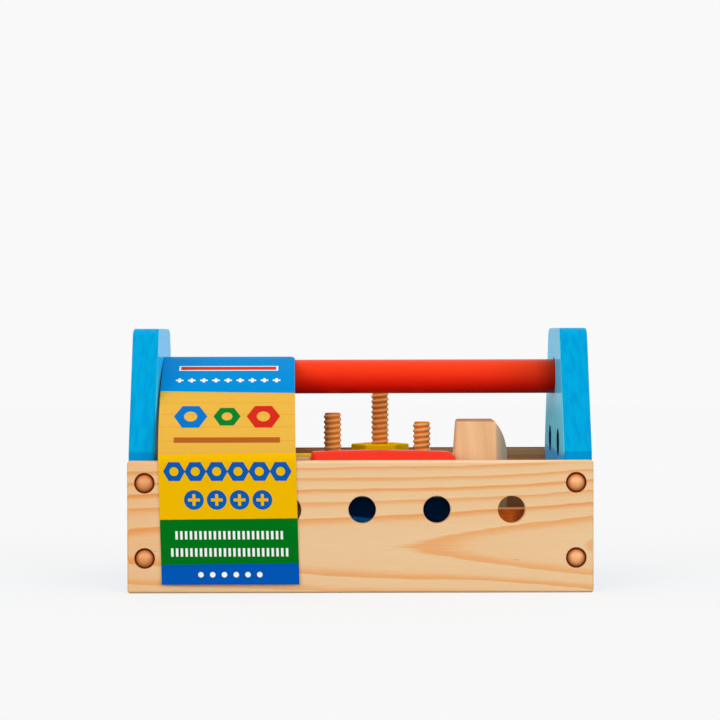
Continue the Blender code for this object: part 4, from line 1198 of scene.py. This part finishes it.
def chamfer_head(piece, right, middle_y, half_depth):
    """Plane off the two upright corners on the crown side of the hammer head; these are in metres."""
    shape = bmesh.new()
    shape.from_mesh(piece.data)
    for sign in (-1, 1):
        normal = Vector((1, sign, 0)).normalized()
        point = Vector((right - HEAD_CORNER * MM, middle_y + sign * half_depth, 0))
        geometry = shape.verts[:] + shape.edges[:] + shape.faces[:]
        cut = bmesh.ops.bisect_plane(
            shape, geom=geometry, plane_co=point, plane_no=normal, clear_outer=True, dist=1e-7
        )
        edges = [item for item in cut["geom_cut"] if isinstance(item, bmesh.types.BMEdge)]
        bmesh.ops.contextual_create(shape, geom=edges)
    bmesh.ops.recalc_face_normals(shape, faces=shape.faces)
    for face in shape.faces:
        face.smooth = True
    shape.to_mesh(piece.data)
    shape.free()
    piece.data.set_sharp_from_angle(angle=radians(SHARP_ANGLE))


def make_hammer_handle():
    """The yellow flat handle with one rounded end."""
    edge, corner, flat = 1.4, 0.8, 2
    size = size_of("hammer_handle")
    radius = (size.z - flat) / 2
    outline = [(size.x, 0), (size.x, size.z)]
    outline += arc(size.z / 2, size.z - radius, radius, 90, 180, LONG_ARC_STEPS)
    outline += arc(size.z / 2, radius, radius, 180, 270, LONG_ARC_STEPS)
    finish = painted("hammer_paint", (255, 204, 0), "x", shade=0.92, shine=0.02)
    place = at_low("hammer_handle", "xz")
    add_board("hammer_handle", "y", soften(outline, corner), edge, finish, place=place)


# The fasteners
def threaded(length):
    """A round shaft from w = 0 up with a rounded right-hand thread that fades out at its top."""
    rows = int(length / THREAD_PITCH * THREAD_ROWS_PER_TURN)
    loops = []
    for row in range(rows + 1):
        w = length * row / rows
        taper = max(0.0, w - (length - THREAD_TIP)) * THREAD_TIP_SLOPE
        loop = []
        for step in range(THREAD_STEPS):
            turn = step / THREAD_STEPS
            phase = (w / THREAD_PITCH - turn) % 1.0
            ridge = 0.5 + 0.5 * cos(2 * pi * phase)
            valley = THREAD_DEPTH * (1 - ridge) ** THREAD_VALLEY_POWER
            reach = THREAD_RADIUS - max(valley, taper)
            angle = 2 * pi * turn
            loop.append((reach * cos(angle), reach * sin(angle)))
        loops.append((loop, w))
    return stacked(loops)


def add_threaded(node, finish_name):
    place = at_low(node, "z")
    finish = thread_wood(finish_name, place)
    add_piece(node, threaded(size_of(node).z), facing("z", place), finish, sharp=60)


def hexagon(radius, corner=0.8, sides=6):
    return soften(circle(0, 0, radius, sides), corner)


def slot_cut(piece, place, size):
    """Cut the screwdriver slot across the underside of a bolt head."""
    bpy.ops.mesh.primitive_cube_add(size=1)
    cutter = bpy.context.object
    cutter.scale = [length * MM for length in size]
    cutter.location = [value * MM for value in place]
    boolean = piece.modifiers.new("slot", "BOOLEAN")
    boolean.operation = "DIFFERENCE"
    boolean.solver = "EXACT"
    boolean.object = cutter
    bpy.context.view_layer.update()
    graph = bpy.context.evaluated_depsgraph_get()
    mesh = bpy.data.meshes.new_from_object(piece.evaluated_get(graph))
    piece.modifiers.clear()
    piece.data = mesh
    bpy.data.objects.remove(cutter, do_unlink=True)
    mesh.set_sharp_from_angle(angle=radians(SHARP_ANGLE))


def make_bolts():
    """Two bolts on their slotted heads."""
    edge, lip, socket_depth = 1.3, 0.4, 4.2
    slot_width, slot_height, slot_middle, overrun = 3.0, 7.0, 0.5, 6
    green = painted("bolt_paint", GREEN, "z", shade=0.8)
    socket = (circle(0, 0, THREAD_HOLE, SMALL_HOLE_STEPS), lip, socket_depth, 1)
    for side in ("left", "right"):
        head = f"bolt_{side}_head"
        width = size_of(head).x
        piece = add_board(head, "z", hexagon(width / 2), edge, green, pockets=[socket])
        foot = at_low(head, "z")
        slot_place = (foot.x, foot.y, foot.z + slot_middle)
        slot_cut(piece, slot_place, (width + overrun, slot_width, slot_height))
        add_threaded(f"bolt_{side}_shaft", f"bolt_{side}_wood")


def make_threaded_rod():
    """The threaded rod with its two nuts."""
    edge, lip = 0.8, 0.6
    yellow = painted("nut_paint", (255, 200, 0), "z", shade=0.95, shine=0.0)
    add_threaded("threaded_rod", "threaded_rod_wood")
    hole = (circle(0, 0, THREAD_HOLE, SMALL_HOLE_STEPS), lip)
    for node in ("nut_lower", "nut_upper"):
        add_board(node, "z", hexagon(size_of(node).x / 2), edge, yellow, [hole])


def make_plates():
    """The natural plate behind the front panel and the green one, turned an eighth, under a bolt."""
    edge, corner, hole_width, hole_corner, lip = 0.9, 1.5, 13.0, 0.8, 0.5
    width = size_of("plate_natural").x
    outline = centred_box(width, width, corner)
    hole = [(centred_box(hole_width, hole_width, hole_corner), lip)]
    add_board("plate_natural", "y", outline, edge, plate_wood(), hole)
    green = centre_of("plate_green")
    half = sqrt(0.5)

    def turned_facing_up(u, v, w):
        return (green.x + (u - v) * half, green.y + (u + v) * half, green.z + w)

    solid = slab(outline, size_of("plate_green").z, edge, hole)
    finish = painted("plate_paint", GREEN, "x", shade=0.8)
    add_piece("plate_green", solid, turned_facing_up, finish)


def make_strips():
    """Two flat strips with round ends and two holes each."""
    edge, lip, end_flat, hole_from_end = 1.0, 0.6, 1.2, 12
    finishes = {
        "strip_yellow": painted("strip_paint", (232, 186, 8), "y", shade=0.88),
        "strip_natural": beech("strip_beech", "y"),
    }
    for node, finish in finishes.items():
        size = size_of(node)
        outline = centred_box(size.x, size.y, (size.x - end_flat) / 2, LONG_ARC_STEPS)
        places = [end * (size.y / 2 - hole_from_end) for end in (-1, 1)]
        holes = [(circle(0, v, BOARD_HOLE_RADIUS, SMALL_HOLE_STEPS), lip) for v in places]
        add_board(node, "z", outline, edge, finish, holes)


def grip_profile(radius, start, end, grooves=3, depth=1.2, half_width=2.4, steps=8):
    """Round grooves at even distances along a grip."""
    profile = []
    for groove in range(1, grooves + 1):
        centre = start + groove * (end - start) / (grooves + 1)
        for step in range(steps + 1):
            angle = pi * step / steps
            profile.append((radius - depth * sin(angle), centre - half_width * cos(angle)))
    return profile


def make_screwdriver():
    """The screwdriver's turned handle with grip grooves."""
    radius, butt, butt_start = 13.0, 6.5, -80
    shoulder, shoulder_end, waist, waist_rise, collar_start = 1.2, 1.6, 2.6, 0.7, 4
    collar, collar_length, collar_edge, bore, bore_depth = 8.5, 10, 1, 4.8, 8
    length = size_of("screwdriver_handle").x
    grip = length - collar_length - butt / 2
    profile = [(radius - butt, 0)]
    profile += arc(radius - butt, butt, butt, butt_start, 0)
    profile += grip_profile(radius, butt, grip)
    profile += [(radius, grip), (radius - shoulder, grip + shoulder_end)]
    profile += [(collar + waist_rise, grip + waist), (collar, grip + collar_start)]
    profile += [(collar, length - collar_edge), (collar - collar_edge, length)]
    profile += [(bore, length), (bore, length - bore_depth)]
    placing = facing("x", at_low("screwdriver_handle", "x"))
    finish = painted("driver_paint", GREEN, "x", shade=0.8)
    add_piece("screwdriver_handle", turned(profile), placing, finish)


def make_screwdriver_shaft():
    """A round shaft whose end is worked down to a flat tip."""
    radius, chamfer, chamfer_length, tip_length = 4.5, 0.5, 1, 0.4
    flat_length, flat_half, slope_length, slope_power, steps = 12.0, 1.3, 2.5, 0.6, 5
    length = size_of("screwdriver_shaft").x
    slope_start = length - flat_length - slope_length
    places = [0, chamfer_length]
    places += [slope_start + slope_length * step / steps for step in range(steps + 1)]
    places += [length - tip_length, length]
    loops = []
    for w in places:
        share = min(max((w - slope_start) / slope_length, 0), 1)
        limit = radius + (flat_half - radius) * share ** slope_power
        round_part = circle(0, 0, radius if 0 < w < length else radius - chamfer, SMALL_HOLE_STEPS)
        loops.append(([(u, max(-limit, min(limit, v))) for u, v in round_part], w))
    placing = facing("x", at_low("screwdriver_shaft", "x"))
    add_piece("screwdriver_shaft", stacked(loops), placing, beech("shaft_beech", "x"))


def dress_solids():
    """Materials for the solids that are shown as they are."""
    finishes = {"base_board": pine("pine_base", 0.0, 1, heart_height=60.0, spread=0.7)}
    steel = steel_finish()
    for node, solid in frame["nodes"].items():
        finish = steel if node.startswith("screw_") else finishes.get(node)
        if finish:
            solid.data.materials.clear()
            solid.data.materials.append(finish)


# Studio
def make_floor():
    """A pale floor that meets the white surroundings and keeps a soft shadow."""
    half = FLOOR_SIZE / 2 * MM
    points = [(-half, -half, 0), (half, -half, 0), (half, half, 0), (-half, half, 0)]
    mesh = bpy.data.meshes.new("floor")
    mesh.from_pydata(points, [], [(0, 1, 2, 3)])
    floor = add_object("floor", mesh)
    material = bpy.data.materials.new("floor")
    nodes = Nodes(material)
    nodes.tree.nodes.clear()
    seen = nodes.node("ShaderNodeLightPath", {}).outputs["Is Camera Ray"]
    diffuse = nodes.node("ShaderNodeBsdfDiffuse", {"Color": (FLOOR_GREY, FLOOR_GREY, FLOOR_GREY, 1)})
    level = nodes.calculate("MULTIPLY", seen, FLOOR_GLOW)
    glow = nodes.node("ShaderNodeEmission", {"Strength": level})
    both = nodes.node("ShaderNodeAddShader", {0: diffuse.outputs[0], 1: glow.outputs[0]})
    nodes.node("ShaderNodeOutputMaterial", {0: both.outputs[0]})
    mesh.materials.append(material)


def make_world():
    """White where the camera, reflections and clear things see it, softer as a light."""
    world = bpy.data.worlds.new("studio")
    bpy.context.scene.world = world
    nodes = Nodes(world)
    nodes.tree.nodes.clear()
    rays = nodes.node("ShaderNodeLightPath", {}).outputs
    seen = nodes.calculate("MAXIMUM", rays["Is Camera Ray"], rays["Is Glossy Ray"])
    seen = nodes.calculate("MAXIMUM", seen, rays["Is Transmission Ray"])
    shaders = {0: seen}
    for index, level in ((1, AMBIENT_LEVEL), (2, WHITE_LEVEL)):
        shaders[index] = nodes.node("ShaderNodeBackground", {"Color": (level, level, level, 1)}).outputs[0]
    mix = nodes.node("ShaderNodeMixShader", shaders)
    nodes.node("ShaderNodeOutputWorld", {0: mix.outputs[0]})


def add_lamp(name, azimuth, elevation, strength):
    """A soft lamp in front of the box, turned to one side by its azimuth."""
    light = bpy.data.lights.new(name, "SUN")
    light.energy = strength
    light.angle = radians(LAMP_SPREAD)
    add_object(name, light).rotation_euler = (radians(90 - elevation), 0, radians(azimuth))


def make_camera():
    data = bpy.data.cameras.new("camera")
    data.lens = CAMERA_LENS
    data.sensor_width = CAMERA_SENSOR
    data.clip_end = CAMERA_REACH * MM
    camera = add_object("camera", data)
    camera.location = Vector((0, -CAMERA_DISTANCE, CAMERA_HEIGHT)) * MM
    roll = Matrix.Rotation(radians(CAMERA_ROLL), 4, "Z")
    pitch = Matrix.Rotation(radians(90 - CAMERA_PITCH), 4, "X")
    camera.rotation_euler = (pitch @ roll).to_euler()
    bpy.context.scene.camera = camera


def main():
    make_side_panels()
    make_end_boards()
    make_handle_rod()
    make_plugs()
    make_sleeve()
    make_saw()
    make_wrench()
    make_blue_board()
    make_hammer_head()
    make_hammer_handle()
    make_bolts()
    make_threaded_rod()
    make_plates()
    make_strips()
    make_screwdriver()
    make_screwdriver_shaft()
    dress_solids()
    make_floor()
    make_world()
    add_lamp("lamp_left", -LAMP_AZIMUTH, LAMP_ELEVATION, LAMP_STRENGTH)
    add_lamp("lamp_right", LAMP_AZIMUTH, LAMP_ELEVATION, LAMP_STRENGTH)
    add_lamp("lamp_fill", 0, FILL_ELEVATION, FILL_STRENGTH)
    make_camera()
    bpy.context.scene.view_settings.view_transform = "Standard"


main()
